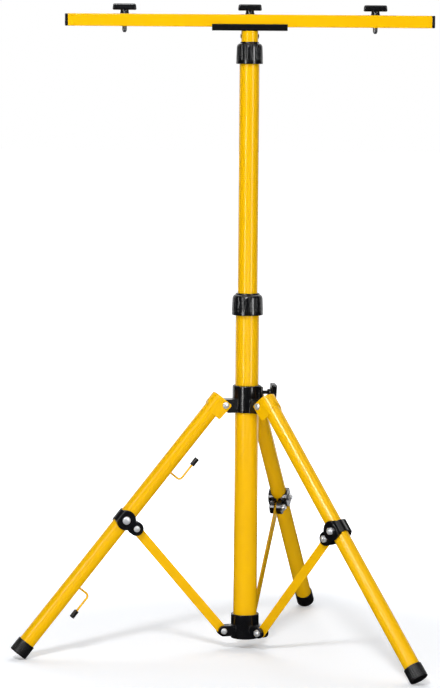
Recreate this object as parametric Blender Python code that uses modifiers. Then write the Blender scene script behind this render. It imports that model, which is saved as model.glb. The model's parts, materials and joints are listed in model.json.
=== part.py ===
"""Telescopic light tripod: a three-stage mast on a folding tripod, with a crossbar for two lamps.

Metres, +Z up. The origin is the point of the floor under the mast. Three legs hang from a hub that
slides on the main tube, and three flat struts tie them to a spider at the foot of that tube.
"""

import math

import bpy
from mathutils import Matrix

# Clearances
GAP = 0.0003
HUB_SLIDING_GAP = 0.0012
OPEN_PIVOT_GAP = 0.0014

# Number of sides of the round pieces
MAST_SIDES = 40
LEG_SIDES = 28
BOLT_SIDES = 14
HOLE_SIDES = 16
WIRE_RESOLUTION = 2

# Mast tubes
MAIN_TUBE_DIAMETER = 0.038
MAIN_TUBE_WALL = 0.0012
MAIN_TUBE_LENGTH = 0.544
MID_TUBE_WALL = 0.0010
MID_TUBE_LENGTH = 0.535
MID_TUBE_SHOWN = 0.402
TOP_TUBE_WALL = 0.0010
TOP_TUBE_LENGTH = 0.500
TOP_TUBE_SHOWN = 0.0318
MID_BUSH_WALL = 0.0012
TOP_BUSH_WALL = 0.0009
BUSH_HEIGHT = 0.018
BUSH_FLANGE = 0.002

# Twist locks at the tops of the main and middle tubes
LOCK_WALL = 0.0022
LOCK_OVERLAP = 0.0207
LOCK_RISE = 0.0145
LOCK_NECK = 0.0075
LOWER_COLLAR_WALL = 0.0035
LOWER_COLLAR_LIP = 0.0035
LOWER_COLLAR_SHOULDER = 0.0100
UPPER_COLLAR_WALL = 0.0027
UPPER_COLLAR_LIP = 0.0015
UPPER_COLLAR_SHOULDER = 0.0090
COLLAR_RIM = 0.0010
COLLAR_NECK = 0.0025

# Spider at the foot of the main tube
SPIDER_BOTTOM = 0.0175
SPIDER_HEIGHT = 0.0395
SPIDER_WALL = 0.0034
SPIDER_LEDGE = 0.004
SPIDER_LEDGE_WIDTH = 0.003
LUG_REACH = 0.0148
LUG_PIVOT_HEIGHT = 0.0303
LUG_RADIUS = 0.0087
LUG_WIDTH = 0.017
LUG_SLOT_GAP = 0.0011

# Sliding hub
HUB_HEIGHT = 0.0435
HUB_WALL = 0.0030
HUB_BELOW_PIVOT = 0.0128
HUB_EAR_REACH = 0.0158
EAR_RADIUS = 0.0090
EAR_HEEL = 0.0050
EAR_SIDE_GAP = 0.0006
HUB_SCREW_BELOW_TOP = 0.0125
HUB_SCREW_DIAMETER = 0.006
HUB_BOSS_PROUD = 0.0022
HUB_BOSS_WIDTH = 0.018
HUB_BOSS_HEIGHT = 0.0205
HUB_KNOB_AZIMUTH = math.radians(14.0)
HUB_KNOB_TURN = math.radians(12.0)
HUB_KNOB_STANDOFF = 0.0095
HUB_KNOB_SIZE = {"length": 0.029, "depth": 0.0145, "head": 0.0095, "stem_diameter": 0.0115, "stem": 0.0045}

# Legs, at rest spread by the leg angle from the mast
LEG_AZIMUTHS = {"rear": math.radians(73.5), "left": math.radians(196.0), "right": math.radians(-44.5)}
LEG_ANGLE = math.radians(39.5)
LEG_DIAMETER = 0.026
LEG_WALL = 0.0012
LEG_LENGTH = 0.517
LEG_OFFSET = 0.011
LEG_TOP_BELOW_PIVOT = 0.0125
FOOT_WALL = 0.0017
FOOT_HEIGHT = 0.023
FOOT_FLOOR = 0.006
FOOT_ROUNDING = 0.002

# U bracket on the top of each leg
BRACKET_SHEET = 0.0016
BRACKET_ABOVE_PIVOT = 0.0066
BRACKET_INSIDE_PIVOT = 0.0085
BRACKET_BELOW_PIVOT = 0.0242
BRACKET_TAPER = 0.0018
BRACKET_CHAMFER = 0.004
BRACKET_TOE = 0.0115

# Clamps that tie the struts to the legs
CLAMP_DISTANCE = 0.244
CLAMP_PIVOT_REACH = 0.0110
CLAMP_DISC_RADIUS = 0.016
CLAMP_SIDE = 0.0029
CLAMP_BACK_CUT = 0.0015
CLAMP_STRAP_WALL = 0.0022
CLAMP_STRAP_LENGTH = 0.020
LOBE_RADIUS = 0.0115
LOBE_WIDTH = 0.020
LOBE_WEB = 0.015

# Struts
STRUT_WIDTH = 0.0155
STRUT_THICKNESS = 0.003

# Bolts
PIVOT_BOLT_DIAMETER = 0.006
BOLT_HEAD_HEIGHT = 0.0028
BOLT_NUT_WIDTH = 0.0105
BOLT_NUT_HEIGHT = 0.0040
BOLT_TAIL = 0.0022
HUB_BOLT_HEAD = 0.0108
CLAMP_BOLT_HEAD = 0.0128
STRUT_BOLT_HEAD = 0.0102
SPIDER_BOLT_HEAD = 0.0100

# Crossbar, its cradle and its knobs
BAR_LENGTH = 0.580
BAR_OVERLAP = 0.0005
BAR_HEIGHT = 0.020
BAR_WALL = 0.0012
CAP_THICKNESS = 0.0045
CAP_PLUG = 0.012
CRADLE_LENGTH = 0.1205
CRADLE_FLOOR = 0.0056
CRADLE_SIDE = 0.003
CRADLE_OVERLAP = 0.0045
SPIGOT_LENGTH = 0.026
RIVET_BELOW_CRADLE = 0.0085
RIVET_DIAMETER = 0.005
RIVET_HEAD_DIAMETER = 0.008
RIVET_HEAD_HEIGHT = 0.0011
KNOB_SPACING = 0.200
BAR_KNOB_SIZE = {"length": 0.0385, "depth": 0.014, "head": 0.0103, "stem_diameter": 0.015, "stem": 0.0055}
KNOB_EDGE = 0.0022
STUD_DIAMETER = 0.008
STUD_BELOW_BAR = 0.0095
STUD_TIP = 0.002
STUD_IN_KNOB = 0.010
NUT_WIDTH = 0.013
NUT_HEIGHT = 0.0065

# Cable hooks on the left leg, as distances down the leg from its pivot
HOOK_WIRE = 0.0034
HOOK_SIDE = -0.0085
HOOK_REACH = 0.024
HOOK_RUN = 0.041
HOOK_BEND = 0.006
UPPER_HOOK_DISTANCE = 0.139
LOWER_HOOK_DISTANCE = 0.3745
HOOK_TIP_DIAMETER = 0.008
HOOK_TIP_LENGTH = 0.014
HOOK_TIP_DEPTH = 0.010

# Sizes that follow from the others
MID_TUBE_DIAMETER = MAIN_TUBE_DIAMETER - 2 * (MAIN_TUBE_WALL + MID_BUSH_WALL + 2 * GAP)
TOP_TUBE_DIAMETER = MID_TUBE_DIAMETER - 2 * (MID_TUBE_WALL + TOP_BUSH_WALL + 2 * GAP)
MAIN_RADIUS = MAIN_TUBE_DIAMETER / 2
MID_RADIUS = MID_TUBE_DIAMETER / 2
TOP_RADIUS = TOP_TUBE_DIAMETER / 2
LEG_RADIUS = LEG_DIAMETER / 2
BOLT_RADIUS = PIVOT_BOLT_DIAMETER / 2
STUD_RADIUS = STUD_DIAMETER / 2
HUB_SCREW_RADIUS = HUB_SCREW_DIAMETER / 2
HOOK_RADIUS = HOOK_WIRE / 2
MAIN_TUBE_BOTTOM = SPIDER_BOTTOM + SPIDER_LEDGE + GAP
MAIN_TUBE_TOP = MAIN_TUBE_BOTTOM + MAIN_TUBE_LENGTH
MID_TUBE_TOP = MAIN_TUBE_TOP + MID_TUBE_SHOWN
MID_TUBE_BOTTOM = MID_TUBE_TOP - MID_TUBE_LENGTH
TOP_TUBE_TOP = MID_TUBE_TOP + TOP_TUBE_SHOWN
TOP_TUBE_BOTTOM = TOP_TUBE_TOP - TOP_TUBE_LENGTH
CRADLE_BOTTOM = TOP_TUBE_TOP + GAP
BAR_BOTTOM = CRADLE_BOTTOM + CRADLE_FLOOR + GAP
BAR_TOP = BAR_BOTTOM + BAR_HEIGHT
LAMP_SEAT_START = KNOB_SPACING + BAR_KNOB_SIZE["stem_diameter"] / 2 + 0.001
SPIDER_DIAMETER = MAIN_TUBE_DIAMETER + 2 * (GAP + SPIDER_WALL)
LUG_PIVOT_RADIUS = SPIDER_DIAMETER / 2 + LUG_REACH
HUB_DIAMETER = MAIN_TUBE_DIAMETER + 2 * (HUB_SLIDING_GAP + HUB_WALL)
HUB_PIVOT_RADIUS = HUB_DIAMETER / 2 + HUB_EAR_REACH
FOOT_DIAMETER = LEG_DIAMETER + 2 * (GAP + FOOT_WALL)
FOOT_CORNER = 0.3 * FOOT_ROUNDING
HUB_PIVOT_HEIGHT = ((LEG_LENGTH - FOOT_CORNER) * math.cos(LEG_ANGLE)
                    + (FOOT_DIAMETER / 2 - FOOT_CORNER - LEG_OFFSET) * math.sin(LEG_ANGLE))
HUB_BOTTOM = HUB_PIVOT_HEIGHT - HUB_BELOW_PIVOT
HUB_TOP = HUB_BOTTOM + HUB_HEIGHT
HUB_SCREW_HEIGHT = HUB_TOP - HUB_SCREW_BELOW_TOP
CLAMP_WIDTH = LEG_DIAMETER + 2 * (GAP + CLAMP_SIDE)
CLAMP_BACK = LEG_RADIUS - CLAMP_BACK_CUT
CLAMP_STRAP_RADIUS = LEG_RADIUS + GAP + CLAMP_STRAP_WALL
CLAMP_PIVOT_OFFSET = LEG_RADIUS + CLAMP_PIVOT_REACH
CLAMP_PIVOT_X = LEG_OFFSET - CLAMP_PIVOT_OFFSET
CLAMP_PIVOT_RADIUS = (HUB_PIVOT_RADIUS + CLAMP_PIVOT_X * math.cos(LEG_ANGLE)
                      + CLAMP_DISTANCE * math.sin(LEG_ANGLE))
CLAMP_PIVOT_HEIGHT = (HUB_PIVOT_HEIGHT + CLAMP_PIVOT_X * math.sin(LEG_ANGLE)
                      - CLAMP_DISTANCE * math.cos(LEG_ANGLE))
STRUT_RUN = CLAMP_PIVOT_RADIUS - LUG_PIVOT_RADIUS
STRUT_RISE = CLAMP_PIVOT_HEIGHT - LUG_PIVOT_HEIGHT
STRUT_LENGTH = math.hypot(STRUT_RUN, STRUT_RISE)
STRUT_ANGLE = math.atan2(STRUT_RUN, STRUT_RISE)
BRACKET_INNER_HALF = LEG_RADIUS + GAP
BRACKET_WIDTH = 2 * (BRACKET_INNER_HALF + BRACKET_SHEET)
EAR_WIDTH = 2 * (BRACKET_INNER_HALF - EAR_SIDE_GAP)
LUG_SLOT_HALF = STRUT_THICKNESS / 2 + LUG_SLOT_GAP
LOBE_SLOT_HALF = STRUT_THICKNESS / 2 + GAP

# Finishes: colour, metallic, roughness
YELLOW_COAT = ((0.82, 0.47, 0.012, 1.0), 0.0, 0.35)
BLACK_PLASTIC = ((0.012, 0.012, 0.014, 1.0), 0.0, 0.38)
BLACK_RUBBER = ((0.020, 0.020, 0.021, 1.0), 0.0, 0.65)
ZINC_STEEL = ((0.62, 0.63, 0.65, 1.0), 1.0, 0.30)
WHITE_NYLON = ((0.72, 0.71, 0.67, 1.0), 0.0, 0.50)

parts = bpy.data.collections.new("telescopic_light_tripod")


def clear_scene():
    """Removes what the file already holds."""
    for thing in list(bpy.data.objects):
        bpy.data.objects.remove(thing)


def material(name, finish):
    """A Principled material for one kind of piece."""
    colour, metallic, roughness = finish
    made = bpy.data.materials.new(name)
    made.use_nodes = True
    shader = made.node_tree.nodes["Principled BSDF"]
    shader.inputs["Base Color"].default_value = colour
    shader.inputs["Metallic"].default_value = metallic
    shader.inputs["Roughness"].default_value = roughness
    return made


def baked(thing):
    """The evaluated mesh of a working object, which is then removed."""
    depsgraph = bpy.context.evaluated_depsgraph_get()
    mesh = bpy.data.meshes.new_from_object(thing.evaluated_get(depsgraph))
    bpy.data.objects.remove(thing)
    return mesh


def working_object(data):
    """An object that only lives while a mesh is being made."""
    thing = bpy.data.objects.new("work", data)
    bpy.context.scene.collection.objects.link(thing)
    return thing


def turned(outline, sides=MAST_SIDES, closed=True):
    """A mesh turned about Z from (radius, height) points that run down the outer side."""
    mesh = bpy.data.meshes.new("outline")
    edges = [(n, n + 1) for n in range(len(outline) - 1)]
    if closed:
        edges.append((len(outline) - 1, 0))
    mesh.from_pydata([(radius, 0.0, height) for radius, height in outline], edges, [])
    thing = working_object(mesh)
    screw = thing.modifiers.new("turn", "SCREW")
    screw.axis = "Z"
    screw.angle = 2 * math.pi
    screw.steps = sides
    screw.render_steps = sides
    screw.use_merge_vertices = True
    screw.merge_threshold = 0.00005
    return baked(thing)


def ring(outer_radius, inner_radius, top, bottom, sides=MAST_SIDES):
    """A plain round tube between two heights."""
    return turned([(outer_radius, top), (outer_radius, bottom), (inner_radius, bottom),
                   (inner_radius, top)], sides)


def rod(radius, length, centre=(0.0, 0.0, 0.0), axis="Z", sides=HOLE_SIDES):
    """A solid cylinder along X, Y or Z."""
    bpy.ops.mesh.primitive_cylinder_add(vertices=sides, radius=radius, depth=length)
    thing = bpy.context.object
    mesh = thing.data
    if axis == "Y":
        mesh.transform(Matrix.Rotation(math.pi / 2, 4, "X"))
    if axis == "X":
        mesh.transform(Matrix.Rotation(math.pi / 2, 4, "Y"))
    mesh.transform(Matrix.Translation(centre))
    bpy.data.objects.remove(thing)
    return mesh


def box(size, centre=(0.0, 0.0, 0.0), rounding=0.0):
    """A box, with its edges rounded where a radius is given."""
    bpy.ops.mesh.primitive_cube_add(size=1.0)
    thing = bpy.context.object
    thing.data.transform(Matrix.Diagonal((*size, 1.0)))
    thing.data.transform(Matrix.Translation(centre))
    if rounding > 0.0:
        bevel = thing.modifiers.new("rounded_edges", "BEVEL")
        bevel.width = rounding
        bevel.segments = 2
    return baked(thing)


def plate(outline, thickness):
    """A flat plate from (x, z) points, its thickness centred on the XZ plane."""
    curve = bpy.data.curves.new("outline", "CURVE")
    curve.dimensions = "2D"
    curve.fill_mode = "BOTH"
    curve.extrude = thickness / 2
    spline = curve.splines.new("POLY")
    spline.points.add(len(outline) - 1)
    for point, (x, z) in zip(spline.points, outline):
        point.co = (x, z, 0.0, 1.0)
    spline.use_cyclic_u = True
    mesh = baked(working_object(curve))
    mesh = welded(mesh)
    mesh.transform(Matrix.Rotation(math.pi / 2, 4, "X"))
    return mesh


def welded(mesh):
    """The mesh with its loose caps joined to its sides."""
    thing = working_object(mesh)
    weld = thing.modifiers.new("joined_caps", "WELD")
    weld.merge_threshold = 0.00002
    return baked(thing)


def arc(centre, radius, start, end, steps):
    """Points of a circle arc, with its angles in degrees."""
    angles = [math.radians(start + (end - start) * n / steps) for n in range(steps + 1)]
    return [(centre[0] + radius * math.cos(a), centre[1] + radius * math.sin(a)) for a in angles]


def shaped(base, cuts=(), joins=()):
    """The base mesh with other meshes joined to it and then cut from it."""
    thing = working_object(base)
    helpers = []
    for operation, meshes in (("UNION", joins), ("DIFFERENCE", cuts)):
        for mesh in meshes:
            helper = working_object(mesh)
            helpers.append(helper)
            boolean = thing.modifiers.new(operation.lower(), "BOOLEAN")
            boolean.operation = operation
            boolean.object = helper
    mesh = baked(thing)
    for helper in helpers:
        bpy.data.objects.remove(helper)
    return mesh


def turned_about_mast(mesh, azimuth):
    """A copy of a mesh, turned about the mast's axis."""
    copy = mesh.copy()
    copy.transform(Matrix.Rotation(azimuth, 4, "Z"))
    return copy


def add_piece(name, mesh, coat, parent=None, place=(0.0, 0.0, 0.0), turn=(0.0, 0.0, 0.0)):
    """A named piece of the tripod, shaded smooth over its shallow edges."""
    if not mesh.materials:
        mesh.materials.append(coat)
    mesh.shade_smooth()
    mesh.set_sharp_from_angle(angle=math.radians(35.0))
    mesh.name = name
    piece = bpy.data.objects.new(name, mesh)
    piece.parent = parent
    piece.location = place
    piece.rotation_euler = turn
    parts.objects.link(piece)
    return piece


def add_pivot(name, place, turn=(0.0, 0.0, 0.0), parent=None):
    """An empty that holds a joint's place and direction."""
    pivot = bpy.data.objects.new(name, None)
    pivot.empty_display_size = 0.02
    pivot.parent = parent
    pivot.location = place
    pivot.rotation_euler = turn
    parts.objects.link(pivot)
    return pivot


def rivet_bolt(head_diameter, grip):
    """A pivot pin along Y with a low domed head at each end."""
    reach = grip / 2 + GAP
    head = head_diameter / 2
    crown = BOLT_HEAD_HEIGHT
    outline = [(0.0, reach + crown), (0.55 * head, reach + crown), (head, reach + 0.45 * crown),
               (head, reach), (BOLT_RADIUS, reach), (BOLT_RADIUS, -reach), (head, -reach),
               (head, -reach - 0.45 * crown), (0.55 * head, -reach - crown), (0.0, -reach - crown)]
    mesh = turned(outline, BOLT_SIDES, closed=False)
    mesh.transform(Matrix.Rotation(math.pi / 2, 4, "X"))
    return mesh


def nut_bolt(head_diameter, grip):
    """A through bolt along Y, its domed head towards +Y and its hexagon nut towards -Y."""
    reach = grip / 2 + GAP
    head = head_diameter / 2
    crown = BOLT_HEAD_HEIGHT
    tail = -reach - BOLT_NUT_HEIGHT - BOLT_TAIL
    shank = turned([(0.0, reach + crown), (0.55 * head, reach + crown), (head, reach + 0.45 * crown),
                    (head, reach), (BOLT_RADIUS, reach), (BOLT_RADIUS, tail + 0.0006),
                    (BOLT_RADIUS - 0.0006, tail), (0.0, tail)], BOLT_SIDES, closed=False)
    corner = BOLT_NUT_WIDTH / 2 / math.cos(math.radians(30.0))
    nut = rod(corner, BOLT_NUT_HEIGHT, (0.0, 0.0, -reach - BOLT_NUT_HEIGHT / 2), sides=6)
    mesh = shaped(shank, joins=[nut])
    mesh.transform(Matrix.Rotation(-math.pi / 2, 4, "X"))
    return mesh


def bolt_hole(grip, x=0.0, z=0.0, gap=GAP):
    """The cutter of a bolt hole along Y."""
    return rod(BOLT_RADIUS + gap, grip, (x, 0.0, z), "Y")


def spider_mesh():
    """The black foot of the main tube: a ring with three slotted lugs."""
    top = SPIDER_HEIGHT
    core = rod(SPIDER_DIAMETER / 2, SPIDER_HEIGHT, (0.0, 0.0, top / 2), sides=MAST_SIDES)
    pivot = (LUG_PIVOT_RADIUS, LUG_PIVOT_HEIGHT - SPIDER_BOTTOM)
    inner = SPIDER_DIAMETER / 4
    outline = arc(pivot, LUG_RADIUS, -90.0, 90.0, 8)
    outline += [(inner, pivot[1] + LUG_RADIUS), (inner, pivot[1] - LUG_RADIUS)]
    lug = plate(outline, LUG_WIDTH)
    slot_start = LUG_PIVOT_RADIUS - STRUT_WIDTH / 2 - 0.0026
    slot_length = 0.040
    slot = box((slot_length, 2 * LUG_SLOT_HALF, slot_length), (slot_start + slot_length / 2, 0.0, pivot[1]))
    hole = bolt_hole(2 * LUG_WIDTH, *pivot)
    cuts = [
        rod(MAIN_RADIUS + GAP, SPIDER_HEIGHT, (0.0, 0.0, SPIDER_LEDGE + top / 2), sides=MAST_SIDES),
        rod(MAIN_RADIUS - SPIDER_LEDGE_WIDTH, 2 * SPIDER_HEIGHT, sides=MAST_SIDES),
    ]
    for azimuth in LEG_AZIMUTHS.values():
        cuts.append(turned_about_mast(slot, azimuth))
        cuts.append(turned_about_mast(hole, azimuth))
    lugs = [turned_about_mast(lug, azimuth) for azimuth in LEG_AZIMUTHS.values()]
    return shaped(core, cuts, lugs)


def hub_mesh():
    """The sliding hub about its pivot height: a ring with three ears and a boss for the knob."""
    middle = HUB_HEIGHT / 2 - HUB_BELOW_PIVOT
    core = rod(HUB_DIAMETER / 2, HUB_HEIGHT, (0.0, 0.0, middle), sides=MAST_SIDES)
    pivot = (HUB_PIVOT_RADIUS, 0.0)
    inner = MAIN_RADIUS / 2
    outline = [(inner, -HUB_BELOW_PIVOT), (HUB_PIVOT_RADIUS - EAR_HEEL, -HUB_BELOW_PIVOT)]
    outline += arc(pivot, EAR_RADIUS, -75.0, 90.0, 8)
    outline += [(inner, EAR_RADIUS)]
    ear = plate(outline, EAR_WIDTH)
    hole = bolt_hole(2 * EAR_WIDTH, *pivot)
    screw_height = HUB_SCREW_HEIGHT - HUB_PIVOT_HEIGHT
    boss_reach = HUB_DIAMETER / 2 + HUB_BOSS_PROUD
    boss = box((boss_reach, HUB_BOSS_WIDTH, HUB_BOSS_HEIGHT), (boss_reach / 2, 0.0, screw_height), 0.0018)
    screw_hole = rod(HUB_SCREW_RADIUS + GAP, 0.060, (0.030, 0.0, screw_height), "X")
    joins = [turned_about_mast(ear, azimuth) for azimuth in LEG_AZIMUTHS.values()]
    joins.append(turned_about_mast(boss, HUB_KNOB_AZIMUTH))
    cuts = [rod(MAIN_RADIUS + HUB_SLIDING_GAP, 4 * HUB_HEIGHT, sides=MAST_SIDES)]
    cuts += [turned_about_mast(hole, azimuth) for azimuth in LEG_AZIMUTHS.values()]
    cuts.append(turned_about_mast(screw_hole, HUB_KNOB_AZIMUTH))
    return shaped(core, cuts, joins)


def collar_mesh(tube_radius, sleeve_radius, wall, lip, shoulder):
    """A twist collar, its bottom at zero: a flared skirt over the sleeve and a cone over the wedge."""
    height = LOCK_OVERLAP + LOCK_RISE
    straight = height - shoulder
    skirt = sleeve_radius + GAP
    body = skirt + wall
    cone_start = LOCK_OVERLAP + 0.0058
    top = tube_radius + lip
    return turned([
        (top, height), (top + 0.0006, height - COLLAR_NECK),
        (top + 0.70 * (body - COLLAR_RIM - top), straight + 0.40 * (shoulder - COLLAR_NECK)),
        (body - COLLAR_RIM, straight), (body - 0.5 * COLLAR_RIM, 0.25 * height), (body, 0.08 * height),
        (body, 0.0), (skirt, 0.0), (skirt, cone_start), (tube_radius + 0.0018, height - 0.0022),
        (tube_radius + GAP, height - 0.0010), (tube_radius + GAP, height)])


def sleeve_mesh(tube_radius):
    """The threaded sleeve fixed round the end of the outer tube, its bottom at zero."""
    return ring(tube_radius + GAP + LOCK_WALL, tube_radius + GAP, LOCK_OVERLAP + 0.0010, 0.0)


def wedge_mesh(tube_radius, sleeve_radius):
    """The tapered gripping ring round the inner tube, its bottom at zero."""
    outer = sleeve_radius - 0.0008
    inner = tube_radius + GAP
    return turned([(inner + 0.0012, LOCK_NECK), (outer, 0.0022), (outer, 0.0), (inner, 0.0),
                   (inner, LOCK_NECK)])


def bush_mesh(tube_radius, bore_radius):
    """The guide bush on the lower end of an inner tube, with a flange under the tube's end."""
    inner = tube_radius + GAP
    outer = bore_radius - GAP
    lip = tube_radius - 0.0025
    return turned([(outer, BUSH_HEIGHT), (outer, 0.0), (lip, 0.0), (lip, BUSH_FLANGE),
                   (inner, BUSH_FLANGE), (inner, BUSH_HEIGHT)])


def knob_mesh(size, thread_radius):
    """A T knob about its underside: a round stem and an oblong head, with a blind bore."""
    stem_height = size["stem"] + KNOB_EDGE
    head = box((size["length"], size["depth"], size["head"]),
               (0.0, 0.0, size["stem"] + size["head"] / 2), KNOB_EDGE)
    stem = rod(size["stem_diameter"] / 2, stem_height, (0.0, 0.0, stem_height / 2), sides=20)
    bore = rod(thread_radius + GAP, 2 * (STUD_IN_KNOB + GAP))
    return shaped(head, [bore], [stem])


def stud_mesh(radius, below):
    """A threaded stud about the knob's underside, with a chamfered tip that far below it."""
    return turned([(0.0, STUD_IN_KNOB), (radius, STUD_IN_KNOB), (radius, STUD_TIP - below),
                   (radius - 0.0010, -below), (0.0, -below)], BOLT_SIDES, closed=False)


def square_tube(start, end):
    """A length of the crossbar's square tube, its underside at zero."""
    inner = BAR_HEIGHT - 2 * BAR_WALL
    middle = ((start + end) / 2, 0.0, BAR_HEIGHT / 2)
    bore = box((2 * (end - start), inner, inner), middle)
    return shaped(box((end - start, BAR_HEIGHT, BAR_HEIGHT), middle), [bore])


def crossbar_mesh():
    """The crossbar, its underside at zero: a stretch with three stud holes, and the lamps' ends."""
    cuts = [rod(STUD_RADIUS + GAP, 2 * BAR_HEIGHT, (x, 0.0, BAR_HEIGHT / 2))
            for x in (-KNOB_SPACING, 0.0, KNOB_SPACING)]
    drilled = shaped(square_tube(-LAMP_SEAT_START, LAMP_SEAT_START), cuts)
    ends = [square_tube(-BAR_LENGTH / 2, BAR_OVERLAP - LAMP_SEAT_START),
            square_tube(LAMP_SEAT_START - BAR_OVERLAP, BAR_LENGTH / 2)]
    return shaped(drilled, joins=ends)


def cap_mesh():
    """An end plug of the crossbar about its seat on the tube's end, pointing along +X."""
    plug = BAR_HEIGHT - 2 * BAR_WALL - 2 * GAP
    face = box((CAP_THICKNESS, BAR_HEIGHT, BAR_HEIGHT), (CAP_THICKNESS / 2 + GAP, 0.0, 0.0), 0.0012)
    overlap = 0.002
    length = CAP_PLUG + overlap
    body = box((length, plug, plug), (overlap - length / 2, 0.0, 0.0))
    return shaped(face, joins=[body])


def cradle_mesh():
    """The black channel under the bar, its underside at zero, with the spigot for the top tube."""
    width = BAR_HEIGHT + 2 * (GAP + CRADLE_SIDE)
    height = CRADLE_FLOOR + GAP + CRADLE_OVERLAP
    block = box((CRADLE_LENGTH, width, height), (0.0, 0.0, height / 2), 0.0010)
    spigot_radius = TOP_RADIUS - TOP_TUBE_WALL - GAP
    join = 0.002
    spigot = rod(spigot_radius, SPIGOT_LENGTH + join, (0.0, 0.0, (join - SPIGOT_LENGTH) / 2), sides=32)
    channel = box((2 * CRADLE_LENGTH, BAR_HEIGHT + 2 * GAP, height), (0.0, 0.0, CRADLE_FLOOR + height / 2))
    stud_depth = STUD_BELOW_BAR + GAP
    thread = rod(STUD_RADIUS + GAP, 2 * stud_depth, (0.0, 0.0, CRADLE_FLOOR + GAP))
    rivet_hole = rod(RIVET_DIAMETER / 2 + GAP, 2 * TOP_TUBE_DIAMETER, (0.0, 0.0, -RIVET_BELOW_CRADLE), "X")
    return shaped(block, [channel, thread, rivet_hole], [spigot])


def rivet_mesh():
    """The cross rivet of the neck along X, with a low head at each side."""
    reach = TOP_RADIUS + GAP
    head = RIVET_HEAD_DIAMETER / 2
    shank = RIVET_DIAMETER / 2
    tip = reach + RIVET_HEAD_HEIGHT
    mesh = turned([(0.0, tip), (0.6 * head, tip), (head, reach), (shank, reach), (shank, -reach),
                   (head, -reach), (0.6 * head, -tip), (0.0, -tip)], BOLT_SIDES, closed=False)
    mesh.transform(Matrix.Rotation(math.pi / 2, 4, "Y"))
    return mesh


def nut_mesh():
    """A square nut on the floor inside the crossbar, its underside at zero."""
    bore = rod(STUD_RADIUS + GAP, 4 * NUT_HEIGHT)
    return shaped(box((NUT_WIDTH, NUT_WIDTH, NUT_HEIGHT), (0.0, 0.0, NUT_HEIGHT / 2)), [bore])


def leg_tube_mesh():
    """A leg tube in its leg's frame, with the cross hole of the clamp bolt."""
    length = LEG_LENGTH - LEG_TOP_BELOW_PIVOT - FOOT_FLOOR - GAP
    mesh = ring(LEG_RADIUS, LEG_RADIUS - LEG_WALL, 0.0, -length, LEG_SIDES)
    mesh.transform(Matrix.Translation((LEG_OFFSET, 0.0, -LEG_TOP_BELOW_PIVOT)))
    return shaped(mesh, [bolt_hole(2 * LEG_DIAMETER, LEG_OFFSET, -CLAMP_DISTANCE)])


def bracket_mesh():
    """The folded steel bracket at the top of a leg: two side plates and a round back on the tube."""
    outside = LEG_OFFSET + BRACKET_WIDTH / 2
    inside = -BRACKET_INSIDE_PIVOT
    corner = 0.0022
    outline = [(outside - BRACKET_CHAMFER, BRACKET_ABOVE_PIVOT)]
    outline += arc((inside + corner, BRACKET_ABOVE_PIVOT - corner), corner, 90.0, 180.0, 3)
    outline += [(inside + BRACKET_TAPER, -BRACKET_BELOW_PIVOT),
                (outside - BRACKET_TOE, -BRACKET_BELOW_PIVOT),
                (outside, -LEG_TOP_BELOW_PIVOT), (outside, BRACKET_ABOVE_PIVOT - BRACKET_CHAMFER)]
    block = plate(outline, BRACKET_WIDTH)
    reach = 0.08
    back = rod(BRACKET_WIDTH / 2 + GAP, 2 * reach, (LEG_OFFSET, 0.0, 0.0), sides=LEG_SIDES)
    corners = shaped(box((reach, reach, reach), (LEG_OFFSET + reach / 2, 0.0, 0.0)), [back])
    channel = box((reach, 2 * BRACKET_INNER_HALF, reach), (LEG_OFFSET - reach / 2, 0.0, 0.0))
    bore = rod(BRACKET_INNER_HALF, reach, (LEG_OFFSET, 0.0, 0.0), sides=LEG_SIDES)
    return shaped(block, [corners, channel, bore, bolt_hole(2 * BRACKET_WIDTH)])


def foot_mesh():
    """The rubber cap of a leg, with its sole at zero."""
    outer = FOOT_DIAMETER / 2
    inner = LEG_RADIUS + GAP
    return turned([(0.0, FOOT_FLOOR), (inner, FOOT_FLOOR), (inner, FOOT_HEIGHT),
                   (outer - 0.0010, FOOT_HEIGHT), (outer, FOOT_HEIGHT - 0.0020),
                   (outer, FOOT_ROUNDING), (outer - FOOT_CORNER, FOOT_CORNER),
                   (outer - FOOT_ROUNDING, 0.0), (0.0, 0.0)], LEG_SIDES, closed=False)


def clamp_mesh():
    """A strut clamp about its leg's axis: a strap with two discs, and a slotted lobe for the strut."""
    pivot = (-CLAMP_PIVOT_OFFSET, 0.0)
    strap = rod(CLAMP_STRAP_RADIUS, CLAMP_STRAP_LENGTH, sides=LEG_SIDES)
    disc = rod(CLAMP_DISC_RADIUS, CLAMP_WIDTH, axis="Y", sides=LEG_SIDES)
    discs = shaped(disc, [box((0.04, 0.04, 0.04), (CLAMP_BACK + 0.02, 0.0, 0.0))])
    outline = arc(pivot, LOBE_RADIUS, 45.0, 315.0, 12)
    outline += [(-LEG_RADIUS, -LOBE_WEB / 2), (-LEG_RADIUS, LOBE_WEB / 2)]
    lobe = plate(outline, LOBE_WIDTH)
    slot = box((0.040, 2 * LOBE_SLOT_HALF, 0.040), (-0.026, 0.0, 0.0))
    cuts = [rod(LEG_RADIUS + GAP, 0.08, sides=LEG_SIDES), slot, bolt_hole(2 * CLAMP_WIDTH),
            bolt_hole(2 * CLAMP_WIDTH, *pivot)]
    return shaped(strap, cuts, [discs, lobe])


def strut_mesh(lower_gap):
    """A flat strut up from its lower eye, whose hole has its own gap round the bolt."""
    half = STRUT_WIDTH / 2
    outline = arc((0.0, 0.0), half, 180.0, 360.0, 8) + arc((0.0, STRUT_LENGTH), half, 0.0, 180.0, 8)
    cuts = [bolt_hole(4 * STRUT_THICKNESS, gap=lower_gap),
            bolt_hole(4 * STRUT_THICKNESS, 0.0, STRUT_LENGTH)]
    return shaped(plate(outline, STRUT_THICKNESS), cuts)


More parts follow.
